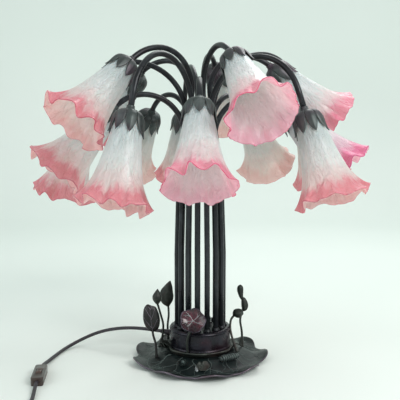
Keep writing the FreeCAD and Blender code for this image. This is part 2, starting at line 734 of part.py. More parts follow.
feature("right_buds", Part.makeCompound([single, twin]))


def tendril():
    """A curled tendril, like a small spring, that lies on the base in front of the drum."""
    turns, radius, wire, pitch = 9, 4.6, 1.15, 4.1
    start, far = Vector(33, -67, 0), Vector(70, -46, 0)
    axis = (far - start).normalize()
    lift = base_height(start.Length) + radius + wire + 0.5
    side = Vector(0, 0, 1).cross(axis)

    def at(turn):
        angle = 2 * math.pi * turn
        spread = side * (radius * math.cos(angle)) + Vector(0, 0, radius * math.sin(angle))
        spot = start + axis * (pitch * turn) + spread + Vector(0, 0, lift)
        way = axis * pitch - side * (2 * math.pi * radius * math.sin(angle))
        way += Vector(0, 0, 2 * math.pi * radius * math.cos(angle))
        return spot, way.normalize()

    steps = 9
    rings = []
    for i in range(turns * steps + 1):
        spot, way = at(i / steps)
        out = (spot - start - Vector(0, 0, lift)).normalize()
        across = way.cross(out).normalize()
        square = ((1, 0), (0, 1), (-1, 0), (0, -1))
        rings.append([tuple(spot + out * (wire * a) + across * (wire * b)) for a, b in square])
    print("tendril gap to itself", round(pitch - 2 * wire, 2))
    return faceted(rings)


feature("tendril", tendril())

# ---- cord ---------------------------------------------------------------------------------------------

cord_radius = size("cord_diameter") / 2
exit_way = outward(CORD_AZIMUTH)
relief_start = exit_way * (size("drum_radius") + 0.1) + Vector(0, 0, size(OUTLET))
relief_end = relief_start + exit_way * size("relief_length")


def strain_relief():
    """A tapered rubber sleeve with a collar, whose nose sits in the drum's wall."""
    root, tip, length = size("relief_root"), size("relief_tip"), size("relief_length")
    nose = size("drum_wall") + 0.1
    sleeve = turned(12, [
        (root - 1.4, -nose - 3), (root - 1.4, 0), (root + 1.5, 0), (root + 1.5, 2.5), (root, 2.5),
        (tip, length),
    ])
    sleeve.Placement = Placement(relief_start, Rotation(Vector(0, 0, 1), exit_way))
    return sleeve


feature("strain_relief", strain_relief())

SWITCH_START = Vector(-263.5, -64, size("switch_height") / 2)
SWITCH_END = Vector(-257.5, -128, size("switch_height") / 2)
switch_way = (SWITCH_END - SWITCH_START).normalize()
switch_middle = (SWITCH_START + SWITCH_END) / 2
switch_back = switch_middle - switch_way * (size("switch_length") / 2)
switch_front = switch_middle + switch_way * (size("switch_length") / 2)

SQUARE_RUN = 15
# Route of the lead from the drum down to the table and along it to the switch.
LEAD_ROUTE = [
    tuple(relief_end), tuple(relief_end + exit_way * 26), (-125, 57, 38.5), (-157, 68, 33.5),
    (-187, 77, 24.5), (-214, 76, 13.5), (-236, 60, 5.5), (-249, 34, 3), (-256.5, 4, 3), (-262, -24, 3.6),
    tuple(switch_back - switch_way * SQUARE_RUN), tuple(switch_back),
]
COIL_MIDDLE = Vector(-206, -263, 0)
COIL_START = COIL_MIDDLE + Vector(-size("coil_outer"), size("cord_diameter"), cord_radius)
# Route from the switch out of view and into the coil.
TAIL_ROUTE = [
    tuple(switch_front), tuple(switch_front + switch_way * SQUARE_RUN), (-253.5, -166, 3.3),
    (-250.6, -190, 3), (-250, -222, 3), tuple(COIL_START),
]


def cord_tube(name, route):
    """One free stretch of the cord, with its bend radii and a test of its volume printed."""
    radii = []
    path = bent_wire(route, radii=radii)
    tube = pipe(path, cord_radius, CORD_SIDES)
    section = CORD_SIDES / 2 * cord_radius ** 2 * math.sin(2 * math.pi / CORD_SIDES)
    print(name, "length", round(path.Length, 1), "radii", [round(radius) for radius in radii],
          "volume over section x length", round(tube.Volume / (section * path.Length), 4))
    feature(name, tube)
    return path.Length


lead_length = cord_tube("cord_lead", LEAD_ROUTE)
tail_length = cord_tube("cord_tail", TAIL_ROUTE)


def coil_point(turn):
    """Middle line of the coil: it winds inwards on the table, climbs, and winds out again on top."""
    outer, pitch = size("coil_outer"), size("coil_pitch")
    half = size("coil_turns") / 2
    inward = min(turn, size("coil_turns") - turn)
    radius = outer - pitch * inward
    climb = min(max((turn - half + 0.25) / 0.5, 0), 1)
    height = cord_radius + size("coil_layer") * (3 * climb ** 2 - 2 * climb ** 3)
    angle = math.pi + 2 * math.pi * turn
    return COIL_MIDDLE + Vector(radius * math.cos(angle), radius * math.sin(angle), height)


def coil_path():
    """Quarter turns of two arcs each, with a straight start and a straight run out to the plug."""
    step = 1e-4
    quarters = int(round(size("coil_turns") * 4))
    places, ways = [], []
    for quarter in range(quarters + 1):
        turn = quarter / 4
        low, high = max(turn - step, 0), min(turn + step, size("coil_turns"))
        places.append(coil_point(turn))
        ways.append((coil_point(high) - coil_point(low)).normalize())
    ways[0] = Vector(0, -1, 0)
    ways[-1] = Vector(1, 0, 0)
    edges = [Part.LineSegment(COIL_START, places[0]).toShape()]
    for k in range(quarters):
        edges += biarc(places[k], ways[k], places[k + 1], ways[k + 1])
    plug_place = places[-1] + ways[-1] * size("coil_run")
    edges.append(Part.LineSegment(places[-1], plug_place).toShape())
    return Part.Wire(edges), plug_place


def gap_to_itself(path, thickness):
    """The least gap between stretches of the tube that are a quarter turn or more apart."""
    points = path.discretize(Number=420)
    apart = 420 // 18
    closest = min((points[i] - points[k]).Length for i in range(0, 420, 2) for k in range(i + apart, 420, 2))
    return closest - thickness


coil_wire, plug_back = coil_path()
coil = pipe(coil_wire, cord_radius, CORD_SIDES)
print("cord_coil length", round(coil_wire.Length, 1), "gap to itself",
      round(gap_to_itself(coil_wire, size("cord_diameter")), 2))
print("cord in all", round(lead_length + tail_length + coil_wire.Length, 1))
feature("cord_coil", coil)

switch_turn = Rotation(Vector(1, 0, 0), switch_way)
switch_place = Placement(Vector(switch_middle.x, switch_middle.y, 0), switch_turn)


def centred_box(sketch, length, width):
    half_length, half_width = f"{length} / 2", f"{width} / 2"
    outline(sketch, [
        (f"-({half_length})", f"-({half_width})"), (half_length, f"-({half_width})"),
        (half_length, half_width), (f"-({half_length})", half_width),
    ])


def switch_half(name, height):
    """One half shell of the inline switch, rounded at its upright edges."""
    body = new_body(name)
    foot = new_sketch(body, f"{name}_outline", "XY_Plane", height)
    centred_box(foot, "Sizes.switch_length", "Sizes.switch_width")
    block = pad(body, f"{name}_block", foot, "Sizes.switch_height / 2")
    doc.recompute()
    upright = [f"Edge{i + 1}" for i, edge in enumerate(block.Shape.Edges)
               if abs(edge.Vertexes[0].Z - edge.Vertexes[1].Z) > 1]
    rounded = body.newObject("PartDesign::Chamfer", f"{name}_corners")
    rounded.Base = (block, upright)
    rounded.setExpression("Size", "Sizes.switch_round")
    body.Tip = rounded
    return body


HALF = "Sizes.switch_height / 2"
lower = switch_half("switch_lower_shell", "Sizes.switch_height * 0")
room_sketch = new_sketch(lower, "switch_room", "XY_Plane", HALF)
centred_box(room_sketch, "(Sizes.slot_length + 8)", "(Sizes.slot_width + 5)")
pocket(lower, "switch_room_cut", room_sketch, f"{HALF} - Sizes.switch_wall")
upper = switch_half("switch_upper_shell", HALF)
slot_sketch = new_sketch(upper, "rocker_slot", "XY_Plane", "Sizes.switch_height")
SLOT_WIDTH = "(Sizes.slot_width + 2 * Sizes.rocker_play)"
centred_box(slot_sketch, "(Sizes.slot_length + 2 * Sizes.rocker_play)", SLOT_WIDTH)
pocket(upper, "rocker_slot_cut", slot_sketch, f"{HALF} + 1")
pin_sketch = new_sketch(upper, "trunnion_holes", "XZ_Plane")
circle(pin_sketch, "Sizes.slot_length * 0", "Sizes.pivot_height", "Sizes.trunnion_radius + 0.08")
pin_cut = pocket(upper, "trunnion_hole_cut", pin_sketch, f"{SLOT_WIDTH} + 2 * Sizes.trunnion_length + 0.6")
pin_cut.Midplane = True
for shell in (lower, upper):
    shell.Placement = switch_place


def switch_rocker():
    """The rocker: two faces that meet in a shallow V over its trunnions, drawn pressed to one stop."""
    half, wide = size("slot_length") / 2, size("slot_width") / 2
    pivot = size("pivot_height")
    top, rise = size("switch_height"), size("rocker_rise")
    turn = math.tan(math.radians(size("rocker_turn")))
    crest = half - size("rocker_taper")
    corners = [
        (-half, pivot - 1.6), (half, pivot - 1.6), (crest, top + rise),
        (0, top + rise - half * turn * 0.5), (-crest, top + rise),
    ]
    face = Part.Face(Part.makePolygon([Vector(x, -wide, z) for x, z in corners + corners[:1]]))
    block = face.extrude(Vector(0, 2 * wide, 0))
    pin = Part.makeCylinder(size("trunnion_radius"), 2 * (wide + size("trunnion_length")),
                            Vector(0, -wide - size("trunnion_length"), pivot), Vector(0, 1, 0))
    rocker = block.fuse(pin)
    rocker.rotate(Vector(0, 0, pivot), Vector(0, 1, 0), -size("rocker_turn") / 2)
    return rocker


feature("switch_rocker", switch_rocker(), switch_place)


def plug():
    """A moulded two-blade plug at the end of the cord, lying beside the coil."""
    length, wide, high = size("plug_length"), size("plug_width"), 2 * plug_back.z
    corner = size("plug_round")

    def section(x, width, height):
        y, z, cut = width / 2, height / 2, corner
        points = [(-y + cut, -z), (y - cut, -z), (y, -z + cut), (y, z - cut), (y - cut, z), (-y + cut, z),
                  (-y, z - cut), (-y, -z + cut)]
        return [(x, across, up) for across, up in points]

    shell = faceted([section(0, wide * 0.55, high * 0.7), section(length * 0.35, wide * 0.75, high * 0.8),
                     section(length * 0.6, wide, high), section(length, wide, high)])
    blades = []
    for side in (-1, 1):
        blade = Part.makeBox(size("blade_length"), size("blade_thickness"), size("blade_width"), Vector(
            length, side * size("blade_pitch") / 2 - size("blade_thickness") / 2, -size("blade_width") / 2))
        blades.append(blade)
    return Part.makeCompound([shell] + blades)


feature("plug", plug(), Placement(plug_back, Rotation()))

# ---- test and write -----------------------------------------------------------------------------------

doc.recompute()
for item in doc.Objects:
    if "Invalid" in item.State or "Error" in item.State:
        raise RuntimeError(f"{item.Label} is {item.State}")
for item in pieces:
    if item.Shape.isNull() or not item.Shape.isValid():
        raise RuntimeError(f"{item.Label} has no sound shape")

os.makedirs("parts", exist_ok=True)
for item in pieces:
    item.Shape.exportStep(f"parts/{item.Label}.step")
print(len(pieces), "sub-parts")
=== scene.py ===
"""Looks of the pond lily table lamp: smooth bent tubes, leaf caps and ruffled glass over the CAD model.

Metres, +Z up, in the CAD model's own frame. Forms are worked out in millimetres and scaled when made.
A lamp head is drawn in its own frame: origin at the tube's end, +Z along the shade towards its mouth.
"""

import random
from math import atan2, cos, dist, exp, hypot, pi, radians, remainder, sin, sqrt

import bpy
from mathutils import Matrix, Vector, noise


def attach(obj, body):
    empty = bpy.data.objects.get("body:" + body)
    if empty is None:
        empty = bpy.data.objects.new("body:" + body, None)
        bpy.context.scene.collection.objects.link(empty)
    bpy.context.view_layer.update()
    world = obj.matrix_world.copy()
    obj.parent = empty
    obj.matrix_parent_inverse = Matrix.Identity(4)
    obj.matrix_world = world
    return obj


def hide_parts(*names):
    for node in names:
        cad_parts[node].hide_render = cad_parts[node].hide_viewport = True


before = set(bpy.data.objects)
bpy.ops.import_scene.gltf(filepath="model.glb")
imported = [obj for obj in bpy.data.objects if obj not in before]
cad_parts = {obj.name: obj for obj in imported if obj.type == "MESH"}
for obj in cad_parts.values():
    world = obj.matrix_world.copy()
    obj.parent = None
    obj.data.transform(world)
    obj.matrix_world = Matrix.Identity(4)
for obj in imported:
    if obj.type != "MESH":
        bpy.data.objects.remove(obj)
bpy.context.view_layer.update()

MM = 0.001
UP = Vector((0, 0, 1))
TURN = 2 * pi


def add_object(name, data):
    piece = bpy.data.objects.new(name, data)
    bpy.context.scene.collection.objects.link(piece)
    return piece


# ---- materials ----------------------------------------------------------------------------------------

def srgb(red, green, blue):
    """A screen colour of 0 to 255 as the linear colour that a shader takes."""
    return tuple((c / 255 / 12.92) if c <= 10 else ((c / 255 + 0.055) / 1.055) ** 2.4
                 for c in (red, green, blue)) + (1.0,)


class Shade:
    """A material whose nodes are added and linked by short calls."""

    def __init__(self, name):
        self.material = bpy.data.materials.new(name)
        self.material.use_nodes = True
        self.tree = self.material.node_tree
        self.surface = self.tree.nodes["Principled BSDF"]

    def add(self, kind, links=None, values=None, **settings):
        node = self.tree.nodes.new(kind)
        for key, value in settings.items():
            setattr(node, key, value)
        for key, value in (values or {}).items():
            node.inputs[key].default_value = value
        for key, socket in (links or {}).items():
            self.tree.links.new(socket, node.inputs[key])
        return node

    def set(self, **values):
        for key, value in values.items():
            self.surface.inputs[key.replace("_", " ")].default_value = value

    def link(self, socket, key):
        self.tree.links.new(socket, self.surface.inputs[key])

    def feed(self, socket, value):
        """Links a node's output to a socket, or sets the socket to a plain value."""
        if isinstance(value, bpy.types.NodeSocket):
            self.tree.links.new(value, socket)
        else:
            socket.default_value = value

    def place(self, stretch=(1, 1, 1)):
        where = self.add("ShaderNodeTexCoord").outputs["Object"]
        return self.add("ShaderNodeMapping", {"Vector": where}, {"Scale": stretch}).outputs["Vector"]

    def noise(self, place, scale, detail=5.0, rough=0.55, distortion=0.0):
        values = {"Scale": scale, "Detail": detail, "Roughness": rough, "Distortion": distortion}
        return self.add("ShaderNodeTexNoise", {"Vector": place}, values).outputs["Fac"]

    def ramp(self, factor, stops, easing="LINEAR"):
        node = self.add("ShaderNodeValToRGB", {"Fac": factor})
        node.color_ramp.interpolation = easing
        points = node.color_ramp.elements
        while len(points) < len(stops):
            points.new(0.5)
        for point, (where, colour) in zip(points, stops):
            point.position = where
            point.color = colour if len(colour) == 4 else tuple(colour) + (1.0,)
        return node.outputs["Color"]

    def spread(self, factor, low, high, start=0.3, end=0.7):
        values = {"From Min": start, "From Max": end, "To Min": low, "To Max": high}
        return self.add("ShaderNodeMapRange", {"Value": factor}, values).outputs["Result"]

    def mix(self, factor, a, b):
        node = self.add("ShaderNodeMix", data_type="RGBA")
        for index, value in ((0, factor), (6, a), (7, b)):
            self.feed(node.inputs[index], value)
        return node.outputs[2]

    def math(self, operation, a, b):
        node = self.add("ShaderNodeMath", operation=operation)
        for socket, value in zip(node.inputs, (a, b)):
            self.feed(socket, value)
        return node.outputs[0]

    def bump(self, height, strength, distance):
        values = {"Strength": strength, "Distance": distance}
        self.link(self.add("ShaderNodeBump", {"Height": height}, values).outputs["Normal"], "Normal")


def patina(name, deep, mid, high, tint, rough, metal, grain, depth, gloss=0.5):
    """Metal under a dark chemical finish: cloudy tones, a warm tint in patches, bare high edges."""
    shade = Shade(name)
    deep, mid, high, tint = (srgb(*colour) for colour in (deep, mid, high, tint))
    place = shade.place()
    clouds = shade.noise(place, 38, 6, 0.62, 0.5)
    tone = shade.ramp(clouds, [(0.32, deep), (0.55, mid), (0.78, high)])
    patches = shade.spread(shade.noise(place, 17, 3), 0.0, 0.75, 0.5, 0.66)
    tone = shade.mix(patches, tone, tint)
    edges = shade.add("ShaderNodeNewGeometry").outputs["Pointiness"]
    tone = shade.mix(shade.spread(edges, 0.0, 0.8, 0.53, 0.62), tone, high)
    shade.link(tone, "Base Color")
    shade.link(shade.spread(clouds, rough[0], rough[1], 0.3, 0.7), "Roughness")
    shade.set(Metallic=metal, Specular_IOR_Level=gloss)
    shade.bump(shade.noise(place, grain, 3, 0.6), depth, 0.0004)
    return shade.material


tube_bronze = patina("tube_bronze", (24, 25, 28), (38, 41, 45), (64, 68, 73), (36, 32, 37),
                     (0.24, 0.4), 0.5, 1400, 0.2)
cap_bronze = patina("cap_bronze", (38, 42, 42), (66, 74, 73), (104, 110, 110), (74, 56, 70),
                    (0.3, 0.48), 0.4, 1100, 0.4)
base_bronze = patina("base_bronze", (13, 19, 20), (24, 34, 34), (48, 62, 60), (24, 27, 30),
                     (0.26, 0.42), 0.3, 800, 0.45, 0.28)
drum_bronze = patina("drum_bronze", (20, 19, 25), (30, 29, 38), (52, 52, 64), (48, 24, 34),
                     (0.2, 0.34), 0.5, 1200, 0.2)
leaf_bronze = patina("leaf_bronze", (26, 29, 27), (44, 50, 46), (84, 90, 84), (52, 34, 34),
                     (0.32, 0.5), 0.4, 900, 0.5)
pod_bronze = patina("pod_bronze", (24, 24, 24), (40, 40, 40), (72, 70, 70), (72, 30, 36),
                    (0.28, 0.42), 0.4, 900, 0.4)
vein_bronze = patina("vein_bronze", (50, 60, 60), (78, 92, 90), (122, 136, 132), (66, 68, 72),
                     (0.3, 0.45), 0.5, 1200, 0.3)
silver_bronze = patina("silver_bronze", (92, 98, 100), (138, 144, 146), (182, 186, 188), (120, 108, 118),
                       (0.25, 0.4), 0.6, 1200, 0.3)
edge_bronze = patina("edge_bronze", (30, 28, 34), (70, 62, 74), (140, 130, 142), (52, 30, 38),
                     (0.25, 0.4), 0.6, 900, 0.3)


def lily_glass(name, body, streak, blush, rim, inside=False):
    """Frosted crinkled glass that turns to its blush.

    The mesh's "bloom" holds the cosine and sine of the way round and how far along the shade a point is.
    """
    shade = Shade(name)
    body, streak, blush, rim = (srgb(*colour) for colour in (body, streak, blush, rim))
    bloom = shade.add("ShaderNodeAttribute", attribute_name="bloom").outputs["Vector"]
    along = shade.add("ShaderNodeSeparateXYZ", {"Vector": bloom}).outputs["Z"]

    def crinkle(around, lengthwise, detail, rough, distortion):
        place = shade.add("ShaderNodeMapping", {"Vector": bloom}, {"Scale": (around, around, lengthwise)})
        return shade.noise(place.outputs["Vector"], 1.0, detail, rough, distortion)

    streaks = crinkle(4.6, 3.4, 4, 0.55, 0.7)
    dents = crinkle(5.2, 9.5, 3, 0.5, 1.3)
    wrinkles = crinkle(11.0, 20.0, 2, 0.5, 0.9)
    smoke = shade.noise(shade.place(), 34, 4, 0.55, 0.4)
    milk = shade.mix(shade.spread(streaks, 0.0, 1.0, 0.38, 0.66), body, streak)
    start = along
    for cloud, share in ((streaks, 0.22), (smoke, 0.2), (dents, 0.1)):
        offset = shade.math("MULTIPLY", shade.math("SUBTRACT", cloud, 0.5), share)
        start = shade.math("ADD", start, offset)
    low, high = (0.3, 1.0) if inside else (0.5, 0.9)
    middle = low + (high - low) * 0.55
    stops = [(low, (0, 0, 0)), (middle, (0.5, 0.5, 0.5)), (high, (0.95, 0.95, 0.95))]
    colour = shade.mix(shade.ramp(start, stops, "EASE"), milk, blush)
    edge = shade.spread(shade.math("ADD", along, shade.math("MULTIPLY", dents, 0.015)), 0.0, 0.9, 0.996, 1.01)
    colour = shade.mix(edge, colour, rim)
    shade.link(colour, "Base Color")
    shade.link(shade.spread(smoke, 0.34, 0.48, 0.3, 0.7), "Roughness")
    shade.set(IOR=1.5, Subsurface_Weight=1.0, Subsurface_Radius=(0.02, 0.016, 0.015), Subsurface_Scale=0.72,
              Coat_Weight=0.35, Coat_Roughness=0.2)
    relief = shade.math("ADD", dents, shade.math("MULTIPLY", streaks, 0.25))
    relief = shade.math("ADD", relief, shade.math("MULTIPLY", wrinkles, 0.12))
    shade.bump(relief, 1.0, 0.0044)
    return shade.material


# Body and streak of the plain milky glass.
WHITE = ((224, 239, 230), (244, 253, 247))
outer_glass = lily_glass("outer_glass", *WHITE, (196, 82, 102), (160, 46, 74))
rose_glass = lily_glass("rose_glass", *WHITE, (222, 92, 122), (182, 52, 90))
# Peach glass is a duller, warmer copy of the milky glass for tubes 7, 8 and 10 at the back: partly their own
# varied tint, partly painted shade where the back shades sit in shadow.
peach_glass = lily_glass("peach_glass", (228, 228, 214), (244, 242, 230), (226, 160, 156), (190, 96, 104))
magenta_glass = lily_glass("magenta_glass", (222, 206, 216), (242, 234, 240), (200, 30, 108), (154, 22, 80))
# The inside glass is a paler, warmer copy of the outer glass: its lighter blush and rim are painted light,
# standing in for light that shines through the thin walls.
inner_glass = lily_glass("inner_glass", (240, 224, 216), (250, 240, 236), (240, 142, 144), (184, 62, 82),
                         inside=True)
inner_rose = lily_glass("inner_rose", (240, 222, 224), (250, 240, 242), (242, 134, 156), (188, 64, 98),
                        inside=True)
PLAIN_GLASS = (outer_glass, inner_glass)
# Outer and inner glass of each lily that isn't of the plain kind, by the number of its tube.
GLASS = {
    1: (rose_glass, inner_rose), 2: (rose_glass, inner_rose), 4: (magenta_glass, inner_rose),
    5: (rose_glass, inner_rose), 7: (peach_glass, inner_glass), 8: (peach_glass, inner_glass),
    10: (peach_glass, inner_glass),
}


def moulded(name, colour, other, rough, grain, strength, coat=0.0):
    """Moulded plastic or rubber: an even tone with a fine texture and a slight bloom."""
    shade = Shade(name)
    place = shade.place()
    bloom = shade.noise(place, 55, 3)
    shade.link(shade.mix(shade.spread(bloom, 0, 1, 0.35, 0.7), srgb(*colour), srgb(*other)), "Base Color")
    shade.link(shade.spread(bloom, rough[0], rough[1]), "Roughness")
    shade.set(Coat_Weight=coat)
    shade.bump(shade.noise(place, grain, 2), strength, 0.0002)
    return shade.material


cord_sleeve = moulded("cord_sleeve", (34, 30, 36), (50, 44, 52), (0.42, 0.58), 2200, 0.3)
brown_plastic = moulded("brown_plastic", (46, 34, 30), (60, 46, 40), (0.28, 0.4), 1800, 0.12, 0.2)
rocker_plastic = moulded("rocker_plastic", (70, 54, 48), (84, 66, 58), (0.3, 0.42), 1500, 0.12, 0.2)
phenolic = moulded("phenolic", (42, 36, 32), (56, 48, 42), (0.4, 0.55), 1500, 0.2)
felt_cloth = moulded("felt_cloth", (40, 52, 44), (54, 66, 56), (0.85, 0.95), 2600, 1.0)
black_enamel = moulded("black_enamel", (24, 24, 25), (34, 34, 35), (0.3, 0.42), 1200, 0.15, 0.3)


def bright_metal(name, colour, rough):
    """Plated or plain bright metal with fine brush marks along it."""
    shade = Shade(name)
    brush = shade.noise(shade.place((60, 60, 900)), 8, 3)
    shade.link(shade.mix(shade.spread(brush, 0, 0.5), srgb(*colour), srgb(120, 118, 112)), "Base Color")
    shade.link(shade.spread(brush, rough, rough + 0.14), "Roughness")
    shade.set(Metallic=1.0)
    shade.bump(brush, 0.1, 0.0001)
    return shade.material


plated_steel = bright_metal("plated_steel", (190, 190, 188), 0.26)
blade_brass = bright_metal("blade_brass", (206, 180, 120), 0.22)


def frosted_bulb():
    shade = Shade("frosted_bulb")
    frost = shade.noise(shade.place(), 160, 3)
    shade.link(shade.mix(shade.spread(frost, 0, 1), srgb(232, 230, 222), srgb(244, 242, 236)), "Base Color")
    shade.link(shade.spread(frost, 0.3, 0.42), "Roughness")
    shade.set(IOR=1.5, Subsurface_Weight=0.2, Subsurface_Radius=(0.01, 0.01, 0.009), Subsurface_Scale=0.3)
    shade.bump(frost, 0.1, 0.0002)
    return shade.material


bulb_frost = frosted_bulb()


def enamel_red():
    """Cloudy dark red enamel over metal."""
    shade = Shade("enamel_red")
    place = shade.place()
    clouds = shade.noise(place, 70, 5, 0.6, 0.6)
    tone = shade.ramp(clouds, [(0.3, srgb(18, 14, 18)), (0.48, srgb(46, 19, 29)), (0.6, srgb(82, 29, 45)),
                               (0.76, srgb(112, 56, 74))])
    shade.link(tone, "Base Color")
    shade.link(shade.spread(clouds, 0.18, 0.32), "Roughness")
    shade.set(Metallic=0.3, Coat_Weight=0.6, Coat_Roughness=0.12)
    shade.bump(shade.noise(place, 400, 3), 0.25, 0.0004)
    return shade.material


red_enamel = enamel_red()


# ---- meshes -------------------------------------------------------------------------------------------

class Form:
    """Vertices in millimetres and faces, gathered from rings, sheets and bars, then made into one object."""

    def __init__(self):
        self.points = []
        self.faces = []
        self.tones = []

    def grid(self, rows, start_cap=False, end_cap=False, wrap=True, tone=0, flip=False):
        """Joins rows of equally many points; wrap closes each row, and a cap closes the first or the last."""
        first = len(self.points)
        wide = len(rows[0])
        for row in rows:
            self.points.extend(row)
        for r in range(len(rows) - 1):
            for c in range(wide if wrap else wide - 1):
                a = first + r * wide + c
                b = first + r * wide + (c + 1) % wide
                face = (a, b, b + wide, a + wide)
                self.faces.append(face[::-1] if flip else face)
                self.tones.append(tone)
        for wanted, row, turn in ((start_cap, 0, -1), (end_cap, len(rows) - 1, 1)):
            if wanted:
                face = tuple(first + row * wide + c for c in range(wide))
                self.faces.append(face[::-turn if flip else turn])
                self.tones.append(tone)
        return self

    def place(self, matrix):
        """Moves every point by a matrix in millimetres."""
        self.points = [matrix @ Vector(point) for point in self.points]
        return self

    def join(self, other, matrix=None, tone=None):
        """Adds another form, moved by a matrix, with its own materials or all in one."""
        first = len(self.points)
        moved = other.points if matrix is None else [matrix @ Vector(point) for point in other.points]
        self.points.extend(moved)
        self.faces.extend(tuple(first + i for i in face) for face in other.faces)
        self.tones.extend(other.tones if tone is None else [tone] * len(other.tones))
        return self

    def make(self, name, materials, nodes, slot, body="lamp"):
        mesh = bpy.data.meshes.new(name)
        mesh.from_pydata([tuple(c * MM for c in point) for point in self.points], [], self.faces)
        for material in materials:
            mesh.materials.append(material)
        mesh.polygons.foreach_set("material_index", self.tones)
        mesh.polygons.foreach_set("use_smooth", [True] * len(mesh.polygons))
        mesh.update()
        piece = add_object(name, mesh)
        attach(piece, body)
        if nodes:
            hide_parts(*nodes)
        return piece


def soften(piece):
    """One level of subdivision."""
    rounding = piece.modifiers.new("rounding", "SUBSURF")
    rounding.levels = rounding.render_levels = 1


def thicken(piece, thickness):
    """A wall in millimetres on the inner side of a sheet."""
    wall = piece.modifiers.new("wall", "SOLIDIFY")
    wall.thickness = thickness * MM
    wall.offset = -1
    return wall


def angles(count):
    return [TURN * k / count for k in range(count)]


def polar(reach, angle, height):
    return (reach * cos(angle), reach * sin(angle), height)


def circle(radius, height, count):
    return [polar(radius, angle, height) for angle in angles(count)]


def rings(stations, count, point):
    """One ring of points for each station, from point(angle, *station)."""
    return [[point(angle, *station) for angle in angles(count)] for station in stations]


def sheet(steps, across, point):
    """A strip through point(t, s), where t runs from 0 to 1 along it and s from -1 to 1 across."""
    rows = [[point(i / steps, 2 * k / across - 1) for k in range(across + 1)] for i in range(steps + 1)]
    return Form().grid(rows, wrap=False)


def lathe(profile, count):
    """A turned form through (radius, height) pairs; the first and last rings are closed."""
    rings = [circle(radius, height, count) for radius, height in profile]
    return Form().grid(rings, True, True, flip=True)


def smooth_line(values, steps):
    """Points of a Catmull-Rom line through tuples of numbers."""
    padded = [values[0]] + list(values) + [values[-1]]
    line = []
    for i in range(len(values) - 1):
        a, b, c, d = padded[i:i + 4]
        for k in range(steps):
            t = k / steps
            line.append(tuple(0.5 * (2 * q + (r - p) * t + (2 * p - 5 * q + 4 * r - s) * t * t
                                     + (3 * q - p - 3 * r + s) * t ** 3)
                              for p, q, r, s in zip(a, b, c, d)))
    line.append(tuple(values[-1]))
    return line


def bar(line, radius, count):
    """A round bar along points; radius is a number or one for each point."""
    line = [Vector(point) for point in line]
    radii = radius if isinstance(radius, (list, tuple)) else [radius] * len(line)
    heading = (line[1] - line[0]).normalized()
    side = heading.cross(UP if abs(heading.z) < 0.9 else Vector((1, 0, 0))).normalized()
    rows = []
    for i, (point, reach) in enumerate(zip(line, radii)):
        ahead = (line[min(i + 1, len(line) - 1)] - line[max(i - 1, 0)]).normalized()
        side = (side - ahead * side.dot(ahead)).normalized()
        up = ahead.cross(side)
        rows.append([tuple(point + side * (reach * cos(angle)) + up * (reach * sin(angle)))
                     for angle in angles(count)])
    return Form().grid(rows, True, True)


# ---- camera, floor and light --------------------------------------------------------------------------

# The photograph's camera: width and focal length in its pixels, pitch in degrees.
PHOTO_WIDTH = 400
FOCAL_LENGTH = 701
PITCH_DOWN = 7
camera_data = bpy.data.cameras.new("camera")
camera_data.sensor_width = 36
camera_data.lens = FOCAL_LENGTH / PHOTO_WIDTH * camera_data.sensor_width
camera = add_object("camera", camera_data)
camera.location = (0, -1.189, 0.427)
camera.rotation_euler = (radians(90 - PITCH_DOWN), 0, 0)
bpy.context.scene.camera = camera


def backdrop():
    """A pale floor that sweeps up into a pale wall."""
    bend, bend_steps = 0.7, 16
    section = [(-3.2, 0)]
    for k in range(bend_steps + 1):
        angle = pi / 2 * k / bend_steps
        section.append((1.5 + bend * sin(angle), bend - bend * cos(angle)))
    section.append((2.2, 3.2))
    points = [(x, y, z) for y, z in section for x in (-4, 4)]
    faces = [(2 * i, 2 * i + 1, 2 * i + 3, 2 * i + 2) for i in range(len(section) - 1)]
    mesh = bpy.data.meshes.new("backdrop")
    mesh.from_pydata(points, [], faces)
    mesh.polygons.foreach_set("use_smooth", [True] * len(mesh.polygons))
    shade = Shade("backdrop_paint")
    wash = shade.noise(shade.place(), 1.2, 2)
    shade.link(shade.mix(wash, srgb(226, 235, 230), srgb(236, 243, 239)), "Base Color")
    shade.set(Roughness=0.85)
    mesh.materials.append(shade.material)
    add_object("backdrop", mesh)


def area_light(name, place, aim, size, power, colour):
    data = bpy.data.lights.new(name, "AREA")
    data.size = size
    data.energy = power
    data.color = colour
    light = add_object(name, data)
    light.location = place
    light.rotation_euler = (Vector(aim) - Vector(place)).to_track_quat("-Z", "Y").to_euler()


backdrop()
area_light("window", (1.5, -1.5, 1.7), (0, 0, 0.3), 1.2, 38, (1.0, 0.99, 0.97))
area_light("fill", (-1.7, -1.0, 1.1), (0, 0, 0.3), 1.4, 11, (0.94, 0.98, 1.0))
area_light("back", (0.5, 1.2, 1.6), (0, 0, 0.4), 1.0, 10, (1.0, 1.0, 1.0))
world = bpy.data.worlds.new("room")
world.use_nodes = True
world.node_tree.nodes["Background"].inputs["Color"].default_value = (0.86, 0.92, 0.9, 1)
world.node_tree.nodes["Background"].inputs["Strength"].default_value = 0.66
bpy.context.scene.world = world
bpy.context.scene.view_settings.view_transform = "Standard"

# ---- cord ---------------------------------------------------------------------------------------------

